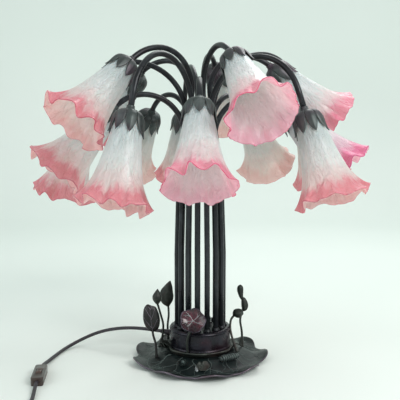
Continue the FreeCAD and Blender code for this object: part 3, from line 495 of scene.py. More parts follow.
CORD_AZIMUTH = radians(-115)
CORD_RADIUS = 3.0
DRUM_SIDE = 53.1
RELIEF_HEIGHT, RELIEF_LENGTH = 40, 24
exit_way = Vector((sin(CORD_AZIMUTH), -cos(CORD_AZIMUTH), 0))
relief_start = exit_way * DRUM_SIDE + UP * RELIEF_HEIGHT
relief_end = relief_start + exit_way * RELIEF_LENGTH
SWITCH_LENGTH, SWITCH_WIDTH = 62, 20
switch_start, switch_end = Vector((-263.5, -64, 7)), Vector((-257.5, -128, 7))
switch_way = (switch_end - switch_start).normalized()
switch_middle = (switch_start + switch_end) / 2
switch_back = switch_middle - switch_way * (SWITCH_LENGTH / 2)
switch_front = switch_middle + switch_way * (SWITCH_LENGTH / 2)
coil_middle = Vector((-206, -263, 0))
# The coil: outer radius, step inwards for each turn, rise of its upper layer, turns, and the run to the plug.
COIL_OUTER, COIL_PITCH, COIL_LAYER, COIL_TURNS, COIL_RUN = 44, 6.7, 6.5, 6.25, 38
TURN_POINTS = 16


def coil_point(turn):
    """The coil's middle line: it winds inwards on the table, climbs, and winds out again on top."""
    inward = min(turn, COIL_TURNS - turn)
    reach = COIL_OUTER - COIL_PITCH * inward
    climb = min(max((turn - COIL_TURNS / 2 + 0.25) / 0.5, 0), 1)
    height = CORD_RADIUS + COIL_LAYER * (3 * climb ** 2 - 2 * climb ** 3)
    return coil_middle + Vector(polar(reach, pi + TURN * turn, height))


coil_end = coil_point(COIL_TURNS)
plug_back = coil_end + Vector((COIL_RUN, 0, 0))
cord_route = [
    relief_end, relief_end + exit_way * 26, (-125, 57, 38.5), (-157, 68, 33.5), (-187, 77, 24.5),
    (-214, 76, 13.5), (-236, 60, 5.5), (-249, 34, 3), (-256.5, 4, 3), (-262, -24, 3.6),
    switch_back - switch_way * 15, switch_back, switch_front, switch_front + switch_way * 15,
    (-253.5, -166, 3.3), (-250.6, -190, 3), (-250, -222, 3), coil_middle + Vector((-COIL_OUTER, 6, 3)),
]
cord_route += [coil_point(i / TURN_POINTS) for i in range(1, int(COIL_TURNS * TURN_POINTS) + 1)]
cord_route.append(plug_back)


def free_cord(name, route):
    data = bpy.data.curves.new(name, "CURVE")
    data.dimensions = "3D"
    data.bevel_depth = CORD_RADIUS * MM
    data.bevel_resolution = 5
    data.use_fill_caps = True
    line = data.splines.new("NURBS")
    line.points.add(len(route) - 1)
    for point, spot in zip(line.points, route):
        point.co = tuple(c * MM for c in spot) + (1.0,)
    line.order_u = 3
    line.use_endpoint_u = True
    line.resolution_u = 6
    data.materials.append(cord_sleeve)
    piece = add_object(name, data)
    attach(piece, "lamp")
    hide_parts("cord_lead", "cord_tail", "cord_coil")
    return piece


cord = free_cord("lamp_cord", cord_route)


def facing(direction, spot):
    """A matrix that turns +Z to a direction and moves the origin to a spot."""
    return Matrix.Translation(spot) @ UP.rotation_difference(Vector(direction)).to_matrix().to_4x4()


def relief():
    """A tapered rubber sleeve with moulded ribs and a collar."""
    profile = [(3.6, -4), (5.2, -3), (6.6, 0), (7.0, 0.6), (7.0, 2.0), (6.4, 2.6)]
    ribs = 7
    for k in range(ribs):
        low = 3.4 + k * 2.9
        reach = 5.5 - 1.7 * k / ribs
        profile += [(reach - 0.7, low), (reach - 0.7, low + 0.5), (reach, low + 0.9), (reach, low + 2.1),
                    (reach - 0.2, low + 2.4)]
    profile += [(3.9, 23.6), (3.3, 24.2)]
    return lathe(profile, 28).place(facing(exit_way, relief_start))


relief().make("strain_sleeve", [cord_sleeve], ["strain_relief"], "cord_rubber")

switch_turn = Matrix.Rotation(atan2(switch_way.y, switch_way.x), 4, "Z")
switch_frame = Matrix.Translation((switch_middle.x, switch_middle.y, 0)) @ switch_turn


def rounded_rectangle(length, width, corner, count=6):
    points = []
    for cx, cy, start in ((1, 1, 0), (-1, 1, 90), (-1, -1, 180), (1, -1, 270)):
        for k in range(count + 1):
            angle = radians(start + 90 * k / count)
            points.append((cx * (length / 2 - corner) + corner * cos(angle),
                           cy * (width / 2 - corner) + corner * sin(angle)))
    return points


def switch_shell(top):
    """Half of the switch's moulding: soft edges, a waist seam and, on top, a frame round the slot."""
    layers = [(0.9, 0.0), (0.3, 0.35), (0.0, 1.1), (0.0, 6.6), (0.25, 6.85), (0.5, 6.9)]
    if top:
        layers = [(0.5, 7.0), (0.25, 7.05), (0.0, 7.3), (0.0, 12.4), (0.35, 13.4), (1.0, 13.9), (1.8, 14.0)]
    slot_layers = ((0.0, 14.0), (0.5, 14.35), (1.0, 14.3), (1.3, 13.8), (1.3, 7.4))

    def outline(length, width, inset, corner, height):
        return [(x, y, height) for x, y in rounded_rectangle(length - 2 * inset, width - 2 * inset, corner)]

    rows = [outline(SWITCH_LENGTH, SWITCH_WIDTH, inset, 4.6 - inset, height) for inset, height in layers]
    form = Form().grid(rows, not top, not top)
    if top:
        slot = [outline(23.6, 12.6, inset, 1.6, height) for inset, height in slot_layers]
        form.join(Form().grid([rows[-1]] + slot))
    return form.place(switch_frame)


switch_shell(False).make("switch_under", [brown_plastic], ["switch_lower_shell"], "switch_plastic")
switch_shell(True).make("switch_over", [brown_plastic], ["switch_upper_shell"], "switch_plastic")


def rocker_button():
    """A rocker with two soft dished faces and grip lines, drawn pressed to one stop as in the CAD."""
    half, wide, pivot, press = 9.7, 4.3, 10.08, radians(-9)
    face_steps = 24
    outline = []
    for k in range(face_steps + 1):
        x = -half + 2 * half * k / face_steps
        outline.append((x, 16.1 - 1.45 * (1 - (x / half) ** 2) - (0.5 if k in (0, face_steps) else 0)))
    rows = []
    side = ((wide - 0.3, 0.0), (wide, 0.25), (wide, 0.5))
    for y, shrink in [(-y, shrink) for y, shrink in side[::-1]] + list(side):
        upper = [(x * (1 - shrink * 0.02), y, z - shrink) for x, z in outline]
        rows.append(upper + [(half, y, 9.2), (-half, y, 9.2)])
    form = Form().grid(rows, True, True)
    for x in (-6.6, -5.6, 5.6, 6.6):
        form.join(bar([(x, -wide + 1.2, 15.55), (x, wide - 1.2, 15.55)], 0.32, 8))
    to_pivot = Matrix.Translation((0, 0, pivot))
    return form.place(switch_frame @ (to_pivot @ Matrix.Rotation(press, 4, "Y") @ to_pivot.inverted()))


rocker_button().make("rocker_button", [rocker_plastic], ["switch_rocker"], "rocker_plastic", "rocker")


def plug_body():
    """A moulded two-blade plug with a ribbed grip."""
    high = 2 * plug_back.z
    sections = smooth_line([(0, 9, 8), (1.5, 12, 11), (6, 15, 13), (12, 18, 15), (20, 23.4, 18.4),
                            (31, 24, 19), (33.4, 23.6, 18.6), (34, 22.4, 17.4)], 4)
    rows = []
    for i, (x, width, height) in enumerate(sections):
        grip = 0.45 if 4 <= i <= 20 and i % 2 else 0.0
        rows.append([(x, y, z) for y, z in rounded_rectangle(width - grip, min(height, high) - grip, 3.2)])
    form = Form().grid(rows, True, True)
    for side in (-6.35, 6.35):
        blade = []
        for x, inset in ((33, 0), (49.5, 0), (50.6, 0.25), (51, 0.7)):
            section = rounded_rectangle(1.5 - inset, 6.4 - 2 * inset, 0.3, 2)
            blade.append([(x, y + side, z) for y, z in section])
        form.join(Form().grid(blade, True, True), tone=1)
    return form.place(Matrix.Translation(plug_back))


plug_body().make("plug_body", [brown_plastic, blade_brass], ["plug"], "plug_plastic")

# ---- tubes --------------------------------------------------------------------------------------------

TUBE_COUNT = 15
TIERS = ("low", "upper", "wide")
# Of each tier: bow and run of the stem, radii of the rise and of the fall, tilt and drop of the head.
TIER_BENDS = {
    "low": (7.0, 10, 70, 70, 40, 8), "upper": (7.6, 72, 62, 80, 50, 3), "wide": (7.6, 20, 92, 70, 24, 46),
}
# What the hand that bent each tube added to rise, fall, tilt and drop, and the twist of its crown.
HAND_BENDS = [
    (16, -3, -7, -5, 7), (3, -5, 0, -1, 4), (3, 10, -2, -9, 9), (-5, -2, 6, -5, 11), (-5, -5, 1, -1, 11),
    (17, 5, -3, 7, 9), (-1, -11, 0, -1, 9), (0, -12, 0, 0, 6), (0, 0, 0, 0, 4), (0, 0, 0, 0, 7),
    (-11, 0, 0, 0, 7), (2, -1, -5, 5, 4), (-2, -5, 3, -4, 4), (2, 6, -3, -1, 5), (5, 11, -6, -15, 2),
]
DRUM_TOP = 61.5
TUBE_RADIUS = 4.6
TUBE_CIRCLE = 40
FIRST_AZIMUTH = -6.5


def tube_azimuth(number):
    """The way a tube leaves the drum, from the front towards the right."""
    return radians(FIRST_AZIMUTH + 360 / TUBE_COUNT * number)


def tube_line(number):
    """One tube's middle line, drawn along +X, and the matrix of its end; the crown twists round the stem."""
    bow, run, rise, fall, tilt, drop = TIER_BENDS[TIERS[number % len(TIERS)]]
    more_rise, more_fall, more_tilt, more_drop, twist = HAND_BENDS[number]
    line = [Vector((TUBE_CIRCLE, 0, DRUM_TOP - 6)), Vector((TUBE_CIRCLE, 0, 190))]
    lean = 0.0

    def run_on(length):
        line.append(line[-1] + Vector((sin(lean), 0, cos(lean))) * length)

    def turn(radius, far):
        nonlocal lean
        first, begin = line[-1], lean
        side = 1 if far > lean else -1
        count = max(int(abs(far - lean) / radians(5)), 2)
        for k in range(1, count + 1):
            angle = begin + (far - begin) * k / count
            swing = Vector((cos(begin) - cos(angle), 0, sin(angle) - sin(begin)))
            line.append(first + side * radius * swing)
        lean = far

    turn(1500, -radians(bow))
    run_on(run)
    stem = len(line)
    pivot = line[-1]
    axis = Vector((sin(lean), 0, cos(lean)))
    turn(rise + more_rise, pi / 2)
    turn(fall + more_fall, pi - radians(tilt + more_tilt))
    run_on(drop + more_drop)
    crown = Matrix.Translation(pivot) @ Matrix.Rotation(radians(twist), 4, axis) @ Matrix.Translation(-pivot)
    end = crown @ Matrix.Translation(line[-1]) @ Matrix.Rotation(lean, 4, "Y")
    line[stem:] = [crown @ point for point in line[stem:]]
    return line, end


heads = []
for number in range(TUBE_COUNT):
    swing = Matrix.Rotation(tube_azimuth(number) - pi / 2, 4, "Z")
    line, end = tube_line(number)
    line = [swing @ point for point in line]
    order = f"{number + 1:02d}"
    bar(line, TUBE_RADIUS, 20).make(f"tube_{order}", [tube_bronze], [f"arm_{order}"], "bronze")
    heads.append(swing @ end)


def foot_collars():
    """A beaded collar where each tube enters the drum."""
    form = Form()
    one = lathe([(TUBE_RADIUS, 0), (6.6, 0), (7.0, 0.8), (6.8, 1.7), (6.0, 2.1), (6.3, 2.9), (6.0, 3.8),
                 (5.2, 4.6), (TUBE_RADIUS, 4.9)], 24)
    for number in range(TUBE_COUNT):
        azimuth = tube_azimuth(number)
        spot = (sin(azimuth) * TUBE_CIRCLE, -cos(azimuth) * TUBE_CIRCLE, DRUM_TOP)
        form.join(one, Matrix.Translation(spot))
    return form


foot_collars().make("foot_collars", [tube_bronze], ["foot_ferrules"], "bronze")

# ---- lamp heads ---------------------------------------------------------------------------------------

# Sizes of the CAD's cap, glass and socket, from which the seat of the glass in its cap follows.
CAP_HUB, CAP_SHOULDER, CAP_RISE, CAP_WALL = 7, 20.5, 6, 1.2
NECK_RADIUS, NECK_HOLE, NECK_LENGTH, NECK_GAP = 15.5, 10.5, 10, 0.3
SHOULDER_RADIUS, GLASS_WALL, FLANGE_RADIUS = 18.8, 2.2, 12.6
NECK_SEAT = CAP_WALL + CAP_RISE * (NECK_RADIUS - CAP_HUB) / (CAP_SHOULDER - CAP_WALL - CAP_HUB) + NECK_GAP
RUFFLES = 8


def leaf_cap(seed):
    """A dome of eight leaves that part into pointed tips, with a midrib on each."""
    chance = random.Random(seed)
    dome = smooth_line([(6.0, -0.6), (9.5, 0.0), (15.5, 2.2), (20.4, 6.4), (23.2, 12.5), (24.2, 19.0),
                        (24.4, 25.0), (24.8, 30.0), (25.5, 34.5), (26.2, 38.2)], 3)
    parting, across = 13.0, 8
    form = Form()
    for middle in angles(RUFFLES):
        length = 36.2 + chance.uniform(-2.0, 1.6)
        flick = chance.uniform(0.0, 1.3)
        lean = chance.uniform(-0.05, 0.05)
        rows = []
        for radius, drop in dome:
            share = min(max((drop - parting) / (length - parting), 0.0), 1.0)
            width = max(pi / RUFFLES * (1 - share ** 1.7) ** 0.8, 0.012)
            fade = min(max(drop / 8.0, 0.0), 1.0)
            row = []
            for k in range(across + 1):
                s = 2 * k / across - 1
                rib = 0.75 * fade * exp(-(s * 4.5) ** 2)
                cup = -0.95 * fade * abs(s) ** 3
                reach = radius + rib + cup + flick * share ** 2
                row.append(polar(reach, middle + width * s + lean * share, min(drop, length)))
            rows.append(row)
        form.grid(rows, wrap=False)
    return form


def collar():
    """A turned collar where the tube enters the cap."""
    return lathe([(TUBE_RADIUS, -6.5), (5.6, -6.2), (6.0, -5.2), (5.7, -4.3), (6.4, -2.6), (7.6, -1.0),
                  (8.4, 0.4), (6.0, 1.0)], 24)


for tier_number, tier in enumerate(TIERS):
    leaves, collars = Form(), Form()
    for number in range(tier_number, TUBE_COUNT, len(TIERS)):
        leaves.join(leaf_cap(number), heads[number])
        collars.join(collar(), heads[number])
    piece = leaves.make(f"{tier}_leaf_caps", [cap_bronze], [f"{tier}_caps"], "verdigris_bronze")
    thicken(piece, 1.1)
    soften(piece)
    collars.make(f"{tier}_cap_collars", [cap_bronze], (), "verdigris_bronze")


# The glass from its neck to its rim, before it is dented and ruffled.
TRUMPET = smooth_line([
    (14.2, NECK_SEAT + 0.2), (NECK_RADIUS, NECK_SEAT + 1.2), (SHOULDER_RADIUS, NECK_SEAT + NECK_LENGTH),
    (21.8, 32), (25.0, 50), (28.4, 70), (32.5, 90), (36.6, 106), (41.8, 119), (47.0, 129.6), (51.6, 137.0),
    (54.0, 140.0)], 5)
AROUND = 192


def lily_shade(number, materials):
    """One glass lily: a dented trumpet whose rim swings out in uneven ruffles, curls over and crinkles."""
    chance = random.Random(200 + number)
    twist = [chance.uniform(0, TURN) for _ in range(8)]
    curls = [(chance.uniform(0, TURN), chance.uniform(0.16, 0.26), chance.uniform(2.0, 4.2))
             for _ in range(3)]
    deep = chance.uniform(0.8, 1.15)
    length = [0.0]
    for a, b in zip(TRUMPET, TRUMPET[1:]):
        length.append(length[-1] + dist(a, b))
    runs = [one / length[-1] for one in length]
    around = angles(AROUND)
    rows = []
    # The ruffles start at 0.56 of the way along the glass and the curled hem at 0.88.
    for (radius, drop), run in zip(TRUMPET, runs):
        swell = max((run - 0.56) / 0.44, 0.0)
        ruffle = swell ** 2.1
        hem = max((run - 0.88) / 0.12, 0.0)
        row = []
        for angle in around:
            phase = RUFFLES * (angle + 0.16 * sin(2 * angle + twist[0]) + 0.1 * sin(3 * angle + twist[1]))
            wave = sin(phase) + 0.22 * sin(2 * phase + twist[6])
            beat = wave * deep * (1 + 0.42 * sin(2 * angle + twist[2]) + 0.25 * sin(5 * angle + twist[3]))
            fold = sum(high * exp(-(remainder(angle - at, TURN) / wide) ** 2) for at, wide, high in curls)
            crinkle = noise.noise(Vector(polar(6.5, angle, run * 3.0 + 7 * number)))
            pleat = noise.noise(Vector(polar(2.4, angle, run * 5 + number)))
            reach = radius + ruffle * (3.7 * beat + fold) + 0.6 * pleat + (0.3 + 1.5 * hem) * crinkle
            height = drop - ruffle * (3.4 * beat + 0.9 * fold) - hem ** 2 * (1.2 * beat + 0.5 * fold)
            height += swell ** 2 * 1.5 * sin(3 * angle + twist[5]) + 1.1 * hem * crinkle
            row.append(polar(reach, angle, height))
        rows.append(row)
    order = f"{number:02d}"
    form = Form().grid(rows).place(heads[number - 1])
    piece = form.make(f"lily_{order}", materials, [f"shade_{order}"], "lily_glass")
    bloom = piece.data.attributes.new("bloom", "FLOAT_VECTOR", "POINT")
    for index, spot in enumerate(bloom.data):
        spot.vector = polar(1, around[index % AROUND], runs[index // AROUND])
    wall = thicken(piece, 1.4)
    wall.material_offset = 1
    wall.material_offset_rim = 0


for number in range(1, TUBE_COUNT + 1):
    lily_shade(number, GLASS.get(number, PLAIN_GLASS))


def holders_and_bulbs():
    """In each head, a socket whose flange carries the glass by its neck, and a small round bulb."""
    share = (FLANGE_RADIUS - NECK_HOLE) / (SHOULDER_RADIUS - GLASS_WALL - NECK_HOLE)
    flange = NECK_SEAT + GLASS_WALL + NECK_LENGTH * share + NECK_GAP
    sleeve = lathe([(6.5, CAP_WALL), (8.0, flange - 1), (12.2, flange - 0.4), (FLANGE_RADIUS, flange),
                    (12.4, flange + 1.6), (8.9, flange + 2.2), (8.5, flange + 3), (8.5, 31), (8.9, 31.5),
                    (8.9, 33.5), (8.2, 34), (6.6, 34)], 28)
    glass = lathe(smooth_line([(6.5, 34.0), (6.9, 37.0), (10.6, 44.0), (13.6, 52.0), (14.0, 58.0),
                               (12.6, 65.0), (9.0, 71.5), (4.4, 75.4), (0.6, 76.2)], 3), 28)
    sockets, bulbs = Form(), Form()
    for head in heads:
        sockets.join(sleeve, head)
        bulbs.join(glass, head)
    sockets.make("lamp_sockets", [phenolic], ["sockets"], "socket_plastic")
    bulbs.make("lamp_bulbs", [bulb_frost], ["bulbs"], "bulb_glass")


holders_and_bulbs()

# ---- base ---------------------------------------------------------------------------------------------

LOBES = 9
BASE_AROUND = 360
# The pad's flat deck, the trough round it and its mean edge, and the heights of deck and trough.
PAD_DECK, PAD_TROUGH, PAD_RADIUS = 66.0, 96.3, 112.0
DECK_HEIGHT, TROUGH_HEIGHT = 21.0, 7.5


def lobe_beat(angle, lobes, sharp=1.7):
    """Broad lobes of +1 parted by narrow notches of -1."""
    return 1 - 2 * ((1 - cos(lobes * angle)) / 2) ** sharp


def pad_height(reach, angle):
    """The base pad's top surface in millimetres at a distance and angle about the axis."""
    if reach <= PAD_DECK:
        return DECK_HEIGHT
    beat = cos(LOBES * angle)
    low = TROUGH_HEIGHT + 0.7 * beat
    if reach <= PAD_TROUGH:
        t = (reach - PAD_DECK) / (PAD_TROUGH - PAD_DECK)
        ease = t * t * (3 - 2 * t)
        fold = 0.9 * beat + 0.5 * sin(2 * LOBES * angle + 0.7)
        return DECK_HEIGHT + (low - DECK_HEIGHT) * (0.55 * t + 0.45 * ease) + fold * sin(pi * t) * 0.6
    t = min((reach - PAD_TROUGH) / (PAD_RADIUS - PAD_TROUGH), 1.25)
    return low + (2.5 + 1.7 * beat) * t * t


def base_form():
    """The pad: its lobed and slightly uneven top, a rolled lip, and an underside that runs in to its foot."""
    bore, steps = 4.6, 26

    def point(angle, t):
        edge = PAD_RADIUS + 5.2 * lobe_beat(angle, LOBES) + sin(4 * angle + 1.1)
        reach = bore + (edge - bore) * (t ** 0.72)
        height = pad_height(min(reach, 118.0), angle)
        return polar(reach, angle, height + 0.4 * noise.noise(Vector(polar(reach * 0.06, angle, 0))))

    rows = rings([(step / steps,) for step in range(steps + 1)], BASE_AROUND, point)
    lip = []
    for out, down in ((0.9, -0.5), (1.2, -1.5), (0.8, -2.6), (-0.6, -3.4)):
        row = []
        for x, y, z in rows[-1]:
            grown = (hypot(x, y) + out) / hypot(x, y)
            row.append((x * grown, y * grown, z + down))
        lip.append(row)
    under = circle(89.5, 3.2, BASE_AROUND)
    foot = [(x * 0.995, y * 0.995, 1.7) for x, y, _ in under]
    inner = [(x * 0.92, y * 0.92, 1.7) for x, y, _ in under]
    form = Form().grid(rows, True, flip=True)
    form.join(Form().grid([rows[-1]] + lip, tone=1, flip=True))
    return form.join(Form().grid([lip[-1], under, foot, inner], flip=True))


base_form().make("lily_pad_base", [base_bronze, edge_bronze], ["base_pad"], "cast_bronze")


def base_veins():
    """Thin raised veins that wander out from the middle of the pad and fork."""
    chance = random.Random(23)
    form = Form()

    def vein(start_reach, start_angle, end_reach, end_angle, thick, depth):
        line, radii = [], []
        count = 14
        phase = chance.uniform(0, TURN)
        sway = radians(chance.uniform(1.2, 2.6))
        for k in range(count + 1):
            t = k / count
            reach = start_reach + (end_reach - start_reach) * t
            bend = sin(6.5 * t + phase) + 0.5 * sin(13.5 * t + 2 * phase)
            angle = start_angle + (end_angle - start_angle) * t + sway * bend * sin(pi * t)
            line.append(polar(reach, angle, pad_height(reach, angle) + 0.12))
            radii.append(max(thick * (1 - 0.6 * t), 0.16))
        form.join(bar(line, radii, 6))
        if depth:
            for side in (-1, 1):
                place = chance.uniform(0.25, 0.7)
                reach = start_reach + (end_reach - start_reach) * place
                angle = start_angle + (end_angle - start_angle) * place
                spread = side * radians(chance.uniform(7, 16)) * (0.5 + 0.5 * depth)
                far = min(reach + chance.uniform(14, 26), 108)
                vein(reach, angle, far, angle + spread, thick * 0.62, depth - 1)

    for lobe in range(LOBES * 2):
        angle = pi / LOBES * lobe + chance.uniform(-0.06, 0.06)
        far = 108 if lobe % 2 == 0 else 98
        vein(61, angle, far, angle + chance.uniform(-0.08, 0.08), 0.5, 2 if lobe % 2 == 0 else 1)
    return form


base_veins().make("base_veins", [vein_bronze], (), "cast_bronze")


def step_form():
    """The smaller pad under the drum, with a lifted wavy lip."""
    section = [(0.1, 0, 0), (0.7, 0, 0.1), (0.86, 0, 0.4), (0.93, 0.7, 0.7), (0.98, 2.0, 1.0),
               (1.0, 2.5, 1.0), (1.015, 2.2, 1.0), (1.015, 0.4, 1.0), (0.97, -2.6, 0.7), (0.93, -6.3, 0.2)]
    radius, top = 60.0, 27.5

    def point(angle, share, lift, lobed):
        beat = lobe_beat(angle, 8, 1.4)
        height = top + lift + 1.1 * beat * lobed * (lift > 0)
        return polar(radius * share + 3.0 * beat * lobed, angle, height)

    return Form().grid(rings(section, 240, point), True, flip=True)


step_form().make("inner_pad", [leaf_bronze], ["pad_step"], "cast_bronze")


def drum_form():
    """The drum's side between two beads, its rounded shoulder and its top with a shallow ring."""
    profile = [
        (52.6, 27.4), (53.4, 27.8), (53.6, 28.8), (53.2, 29.8), (52.4, 30.3), (52.2, 31.2), (52.4, 33.0),
        (52.6, 44), (52.6, 55.0), (52.3, 56.0), (53.0, 56.6), (53.4, 57.6), (53.2, 58.6), (52.4, 59.4),
        (51.6, 60.6), (50.2, 61.4), (46.0, 61.7), (30.0, 61.5), (26.0, 61.9), (25.0, 62.2), (24.0, 61.7),
        (4.5, 61.5),
    ]
    return Form().grid([circle(*spot, 96) for spot in profile])


drum_form().make("drum_shell", [drum_bronze], ["stem_drum"], "bronze")

# ---- ornaments on the base ----------------------------------------------------------------------------

def wire_stem(points):
    """A stem that stands on the base's top, thicker at its foot."""
    x, y, _ = points[0]
    foot = (x, y, pad_height(hypot(x, y), atan2(y, x)) - 0.4)
    line = smooth_line([foot] + points[1:], 6)
    return bar(line, [1.9 * (1 + 0.5 * exp(-i / 2.0)) for i in range(len(line))], 12)


def body_form(points, sizes, sides, ribs=0, rib_depth=0.0, veins=False):
    """A soft form through elliptical rings on a bent line; ribs run along it, veins branch from a midrib."""
    spots = smooth_line(points, 6)
    sizes = smooth_line([size if isinstance(size, tuple) else (size, size) for size in sizes], 6)
    rows = []
    total = len(spots) - 1
    for i, (spot, (across, deep)) in enumerate(zip(spots, sizes)):
        ahead = Vector(spots[min(i + 1, total)]) - Vector(spots[max(i - 1, 0)])
        side = ahead.cross(Vector((0, 1, 0))).normalized()
        inward = side.cross(ahead).normalized()
        row = []
        for angle in angles(sides):
            swell = 1 + rib_depth * cos(ribs * angle)
            if veins:
                flank = cos(angle)
                swell += 0.05 * exp(-(flank * 6) ** 2)
                swell += 0.045 * max(cos(9 * (i / total) + 5 * abs(flank)), 0) ** 6
            row.append(tuple(Vector(spot) + side * (max(across, 0.3) * swell * cos(angle))
                             + inward * (max(deep, 0.3) * swell * sin(angle))))
        rows.append(row)
    return Form().grid(rows, True, True)


left_bud = wire_stem([(-72, 12, 20), (-66, 11, 40), (-65, 10, 60), (-70, 10, 80), (-75, 10, 98)])
left_bud.join(body_form([(-75, 10, 96), (-75, 10, 103), (-74.8, 10, 110), (-74.5, 10, 117), (-74.2, 10, 123)],
                        (2.6, 7.2, 8, 4.5, 0.6), 30, 5, 0.06))
left_bud.make("bud_left", [leaf_bronze], ["left_bud"], "cast_bronze")

POD_LINE = [(-79.5, -35, 61), (-80, -35, 68), (-82, -35, 82), (-84, -35, 97), (-84.5, -35, 104),
            (-84, -35, 106)]
POD_SIZES = ((4, 2.5), (11, 5.5), (14.2, 7.5), (12, 6.5), (8.5, 4.5), (3, 2))


def pod_veins():
    """A midrib and side veins that lie on the front face of the left pod."""
    spots, sizes = smooth_line(POD_LINE, 6), smooth_line(POD_SIZES, 6)
    last = len(spots) - 1
    form = Form()

    def on_face(t, across):
        place = min(max(t, 0), 0.999) * last
        k, part_way = int(place), place % 1
        middle = Vector(spots[k]).lerp(Vector(spots[k + 1]), part_way)
        wide, deep = Vector(sizes[k]).lerp(Vector(sizes[k + 1]), part_way)
        return tuple(middle + Vector((wide * across, -deep * sqrt(1 - across * across) - 0.15, 0)))

    paths = [[on_face(0.03 + 0.92 * k / 16, -0.12 + 0.2 * k / 16) for k in range(17)]]
    for start, reach in ((0.16, 0.8), (0.2, -0.82), (0.42, 0.78), (0.46, -0.8), (0.66, 0.62), (0.7, -0.66)):
        root = -0.1 + 0.2 * start
        paths.append([on_face(start + 0.26 * k / 8, root + reach * (k / 8) ** 0.9) for k in range(9)])
    for path in paths:
        radii = [0.42 * (1 - 0.55 * k / (len(path) - 1)) for k in range(len(path))]
        form.join(bar(path, radii, 6), tone=1)
    return form


left_pod = wire_stem([(-74, -34, 20), (-75.5, -34, 38), (-79.5, -35, 54), (-81, -35, 66)])
left_pod.join(body_form(POD_LINE, POD_SIZES, 56))
left_pod.join(pod_veins())
left_pod.make("pod_left", [pod_bronze, edge_bronze], ["left_pod"], "cast_bronze")

back_leaf = wire_stem([(-58, 52, 20), (-59, 52, 44), (-57, 53, 64), (-58, 54, 84)])
back_leaf.join(body_form([(-58, 54, 80), (-60, 54, 90), (-60.5, 54, 103), (-57, 54, 116), (-54, 54, 127)],
                         ((3, 2), (11, 5), (12.5, 6), (7.5, 4), (0.8, 0.8)), 40, veins=True))
back_leaf.make("leaf_back", [leaf_bronze], ["back_leaf"], "cast_bronze")

right_stems = wire_stem([(64, -22, 20), (56, -16, 42), (52.5, -8, 58), (54, -2, 71), (60, 0, 79)])
right_stems.join(body_form([(57.5, 0, 78.6), (61, 0, 80.5), (65, 0, 82), (71, 0, 82), (75.5, 0, 81)],
                           (1.6, 6.5, 8, 7, 1.6), 30, 5, 0.05))
right_stems.join(wire_stem([(75, 14, 20), (74, 14, 44), (71, 14, 66), (75, 14, 84), (76.5, 14, 96)]))
right_stems.join(body_form([(76.5, 14, 82.5), (78.5, 14, 87), (79, 14, 94), (77, 14, 102), (74.5, 14, 106.5)],
                           (1.6, 5, 6, 4.5, 2.2), 30, 5, 0.06))
right_stems.join(body_form([(75, 14, 103), (72.5, 14, 109), (71, 14, 119), (71, 14, 126), (71.5, 14, 129.5)],
                           (2.2, 3.6, 5.4, 4.8, 1.0), 30, 5, 0.06))
right_stems.make("buds_right", [leaf_bronze], ["right_buds"], "cast_bronze")


def dish_form():
    """A small lily dish on its stalk: dark red inside, a thick bronze rim and a few pale veins that fork."""
    tilt = Matrix.Translation((-12, -53.5, 84)) @ Matrix.Rotation(radians(62), 4, "X")
    radius = 19

    def wavy(angle, reach, height, lobed):
        swing = lobed * (1.1 * cos(5 * angle) + 0.5 * cos(2 * angle + 0.6) + 0.3 * cos(13 * angle))
        return polar(reach + swing, angle, height + lobed * (0.8 * cos(5 * angle) + 0.6 * sin(2 * angle)))

    def bowl(stations):
        return rings(stations, 120, wavy)

    def inner_height(reach):
        return 1.0 + 0.0044 * reach ** 2.4

    inside = bowl([(reach, inner_height(reach), (reach / radius) ** 2)
                   for reach in (0.4, 4, 8, 12, 15, 17.5, radius)])
    rim = bowl([(radius, 6.1, 1), (19.8, 6.8, 1), (20.8, 6.7, 1), (21.1, 5.6, 1)])
    outside = [rim[-1]] + bowl([(16.8, 2.2, 0.5), (12, 0.2, 0.1), (2, -0.6, 0)])
    form = Form().grid(inside, True, tone=1)
    form.join(Form().grid(rim, tone=3)).join(Form().grid(outside, False, True))
    chance = random.Random(5)
    for middle in angles(5):
        angle = middle + 0.5 + chance.uniform(-0.3, 0.3)
        bend = chance.uniform(-0.02, 0.02)
        vein = [(t, angle + bend * t) for t in (0.5, 4, 8, 12, 15, 18)]
        fork = [(t, angle + bend * t + 0.04 * (t - 8)) for t in (8, 11, 14, 17.5)]
        for spots, thick in ((vein, 0.62), (fork, 0.42)):
            line = [polar(t, turn, inner_height(t) + 0.15) for t, turn in spots]
            radii = [(thick * (1 - 0.5 * i / (len(line) - 1)),) for i in range(len(line))]
            form.join(bar(smooth_line(line, 3), [one[0] for one in smooth_line(radii, 3)], 6), tone=2)
    form.place(tilt)
    stalk = smooth_line([(-20.8, -52.6, 29.6), (-21.5, -55, 48), (-18, -57, 64), (-13, -54.8, 81)], 6)
    return form.join(bar(stalk, 2.0, 12))


dish_form().make("lily_dish", [leaf_bronze, red_enamel, silver_bronze, edge_bronze], ["flower_dish"],
                 "ruby_glaze")


def on_pad(x, y, lift=0.0):
    """A matrix that sets a form on the pad's sloping top at a place."""
    reach, angle = hypot(x, y), atan2(y, x)
    slope = (pad_height(reach - 3, angle) - pad_height(reach + 3, angle)) / 6
    normal = Vector(polar(slope, angle, 1)).normalized()
    return facing(normal, (x, y, pad_height(reach, angle) + lift))


def petal(length, width, rise, curl):
    """One cupped petal from the origin outwards along +X."""

    def point(t, s):
        half = width * sin(pi * min(0.12 + 0.86 * t, 0.985)) ** 0.7
        return (length * t ** 0.8 * (1 - curl * t), half * s, rise * t + 0.35 * half * s * s)

    return sheet(6, 6, point)


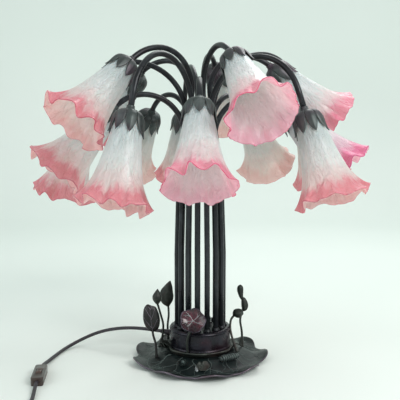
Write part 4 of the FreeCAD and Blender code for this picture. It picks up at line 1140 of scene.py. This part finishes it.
def lotus():
    """A lotus bud: two rings of six petals round its heart."""
    form = body_form([(0, 0, 0.5), (0, 0, 4), (0, 0, 8), (0, 0, 11.5)], (3.4, 4.6, 3.6, 0.5), 24, 6, 0.08)
    count = 6
    for ring, shape in enumerate(((8.2, 3.4, 6.5, 0.12), (6.6, 2.8, 9.5, 0.35))):
        for angle in angles(count):
            form.join(petal(*shape), Matrix.Rotation(angle + ring * pi / count, 4, "Z"))
    return form


def cup_leaf():
    """A small round leaf with a notch and a raised wavy edge."""
    section = ((0.05, 1.2), (0.35, 1.0), (0.7, 1.7), (0.93, 3.2), (1.0, 4.2), (1.02, 3.4), (0.8, 0.6),
               (0.1, 0.2))

    def point(angle, scale, height):
        notch = 1 - 0.55 * exp(-((remainder(angle - 1.9, TURN)) / 0.22) ** 2)
        reach = 10.4 * scale * (notch if scale > 0.3 else 1) + 0.5 * scale * cos(6 * angle)
        return polar(reach, angle, height + 0.3 * scale * cos(6 * angle))

    return Form().grid(rings(section, 72, point), True, True, flip=True)


def blossoms():
    """The lotus and the cup leaf at the front of the pad."""
    return Form().join(lotus(), on_pad(-27, -74), 1).join(cup_leaf(), on_pad(5, -81))


blossoms().make("pad_blossoms", [leaf_bronze, vein_bronze], ["base_blossoms"], "cast_bronze")


def leaf_fold(tall, wide, lean):
    """One fold of the crumpled leaf, which leans out along -X."""

    def point(t, s):
        half = wide * sin(pi * min(0.08 + 0.9 * t, 0.985)) ** 0.75
        vein = 0.35 * exp(-(s * 7) ** 2) + 0.25 * max(cos(11 * t + 4 * abs(s)), 0) ** 4
        return (-lean * tall * t + 2.2 * s * s * (1 - t) - vein, half * s * (1 - 0.25 * t),
                tall * t * (1 - 0.22 * lean * t) + 0.8 * sin(3 * s + 4 * t))

    return sheet(9, 10, point)


def crumpled_leaf():
    """Three folds of a crumpled leaf, cast with the pad at the left of the drum."""
    form = Form()
    for turn, *shape in ((0.0, 17, 13, 0.55), (0.9, 14, 11, 0.8), (-1.0, 12, 10, 0.75)):
        form.join(leaf_fold(*shape), Matrix.Translation((-58.5, -18, 27.6)) @ Matrix.Rotation(turn, 4, "Z"))
    return form


def pad_curls():
    """A curl and a twig at the foot of the right stems, and a pale ribbed seed at the front of the pad that
    also stands in for a bright highlight there.
    """
    form = Form()
    loop, radii = [], []
    for k, angle in enumerate(angles(22)[:20]):
        swing = 4.4 * sin(angle)
        loop.append((70 + swing * 0.35, -10 + swing, 27.5 + 7.4 * (1 - cos(angle))))
        radii.append(1.25 * (1 - 0.35 * k / 19))
    form.join(bar(loop, radii, 10))
    twig = smooth_line([(56.5, -16, 27.2), (60, -15, 33.0), (66, -13, 31.0), (72, -11, 27.5)], 5)
    form.join(bar(twig, 1.1, 10))
    # The seed is pale silver bronze and sits where a small bright highlight lies on the pad: partly a cast
    # seed, partly a painted highlight.
    seed = body_form([(0, 0, -7), (0, 0, -4.6), (0, 0, 0), (0, 0, 4.6), (0, 0, 7)],
                     (0.5, 2.2, 2.9, 2.2, 0.5), 20, 2, 0.22)
    return form.join(seed, on_pad(-5, -84, 1.1) @ Matrix.Rotation(radians(-90), 4, "X"), 1)


leaf_piece = crumpled_leaf().make("crumpled_leaf", [leaf_bronze], (), "cast_bronze")
soften(leaf_piece)
thicken(leaf_piece, 0.9)
pad_curls().make("pad_curls", [leaf_bronze, silver_bronze], (), "cast_bronze")


def tendril_form():
    """A curled tendril, tight as a spring, that tapers at both ends."""
    turns, pitch, steps = 9, 4.1, 18
    coil, wire = 4.6, 1.15
    start, far = Vector((33, -67, 0)), Vector((70, -46, 0))
    way = (far - start).normalized()
    side = UP.cross(way)
    slope = (DECK_HEIGHT - TROUGH_HEIGHT) / (PAD_TROUGH - PAD_DECK)
    lift = DECK_HEIGHT - slope * (start.length - PAD_DECK) + coil + wire + 0.5
    line, radii = [], []
    for i in range(turns * steps + 1):
        turn = i / steps
        angle = TURN * turn
        ends = min(turn, turns - turn)
        reach = coil * (0.62 + 0.38 * min(ends / 1.5, 1.0))
        middle = start + way * (pitch * turn)
        line.append(middle + side * (reach * cos(angle)) + UP * (lift + reach * sin(angle)))
        radii.append(wire * (0.5 + 0.5 * min(ends / 0.8, 1.0)))
    return bar(line, radii, 10)


# The tendril takes the paler vein bronze rather than a dark bronze: the lighter tone paints in the bright
# highlights along its coils, a painted sheen.
tendril_form().make("curled_tendril", [vein_bronze], ["tendril"], "cast_bronze")

# ---- CAD parts that keep their own shape ---------------------------------------------------------------

for node, material, name in (
    ("felt_pad", felt_cloth, "felt"), ("bottom_cover", black_enamel, "cover_steel"),
    ("cover_screws", plated_steel, "plated_steel"), ("tie_rod", plated_steel, "plated_steel"),
    ("tie_nuts", plated_steel, "plated_steel"),
):
    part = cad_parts[node]
    part.data.materials.clear()
    part.data.materials.append(material)
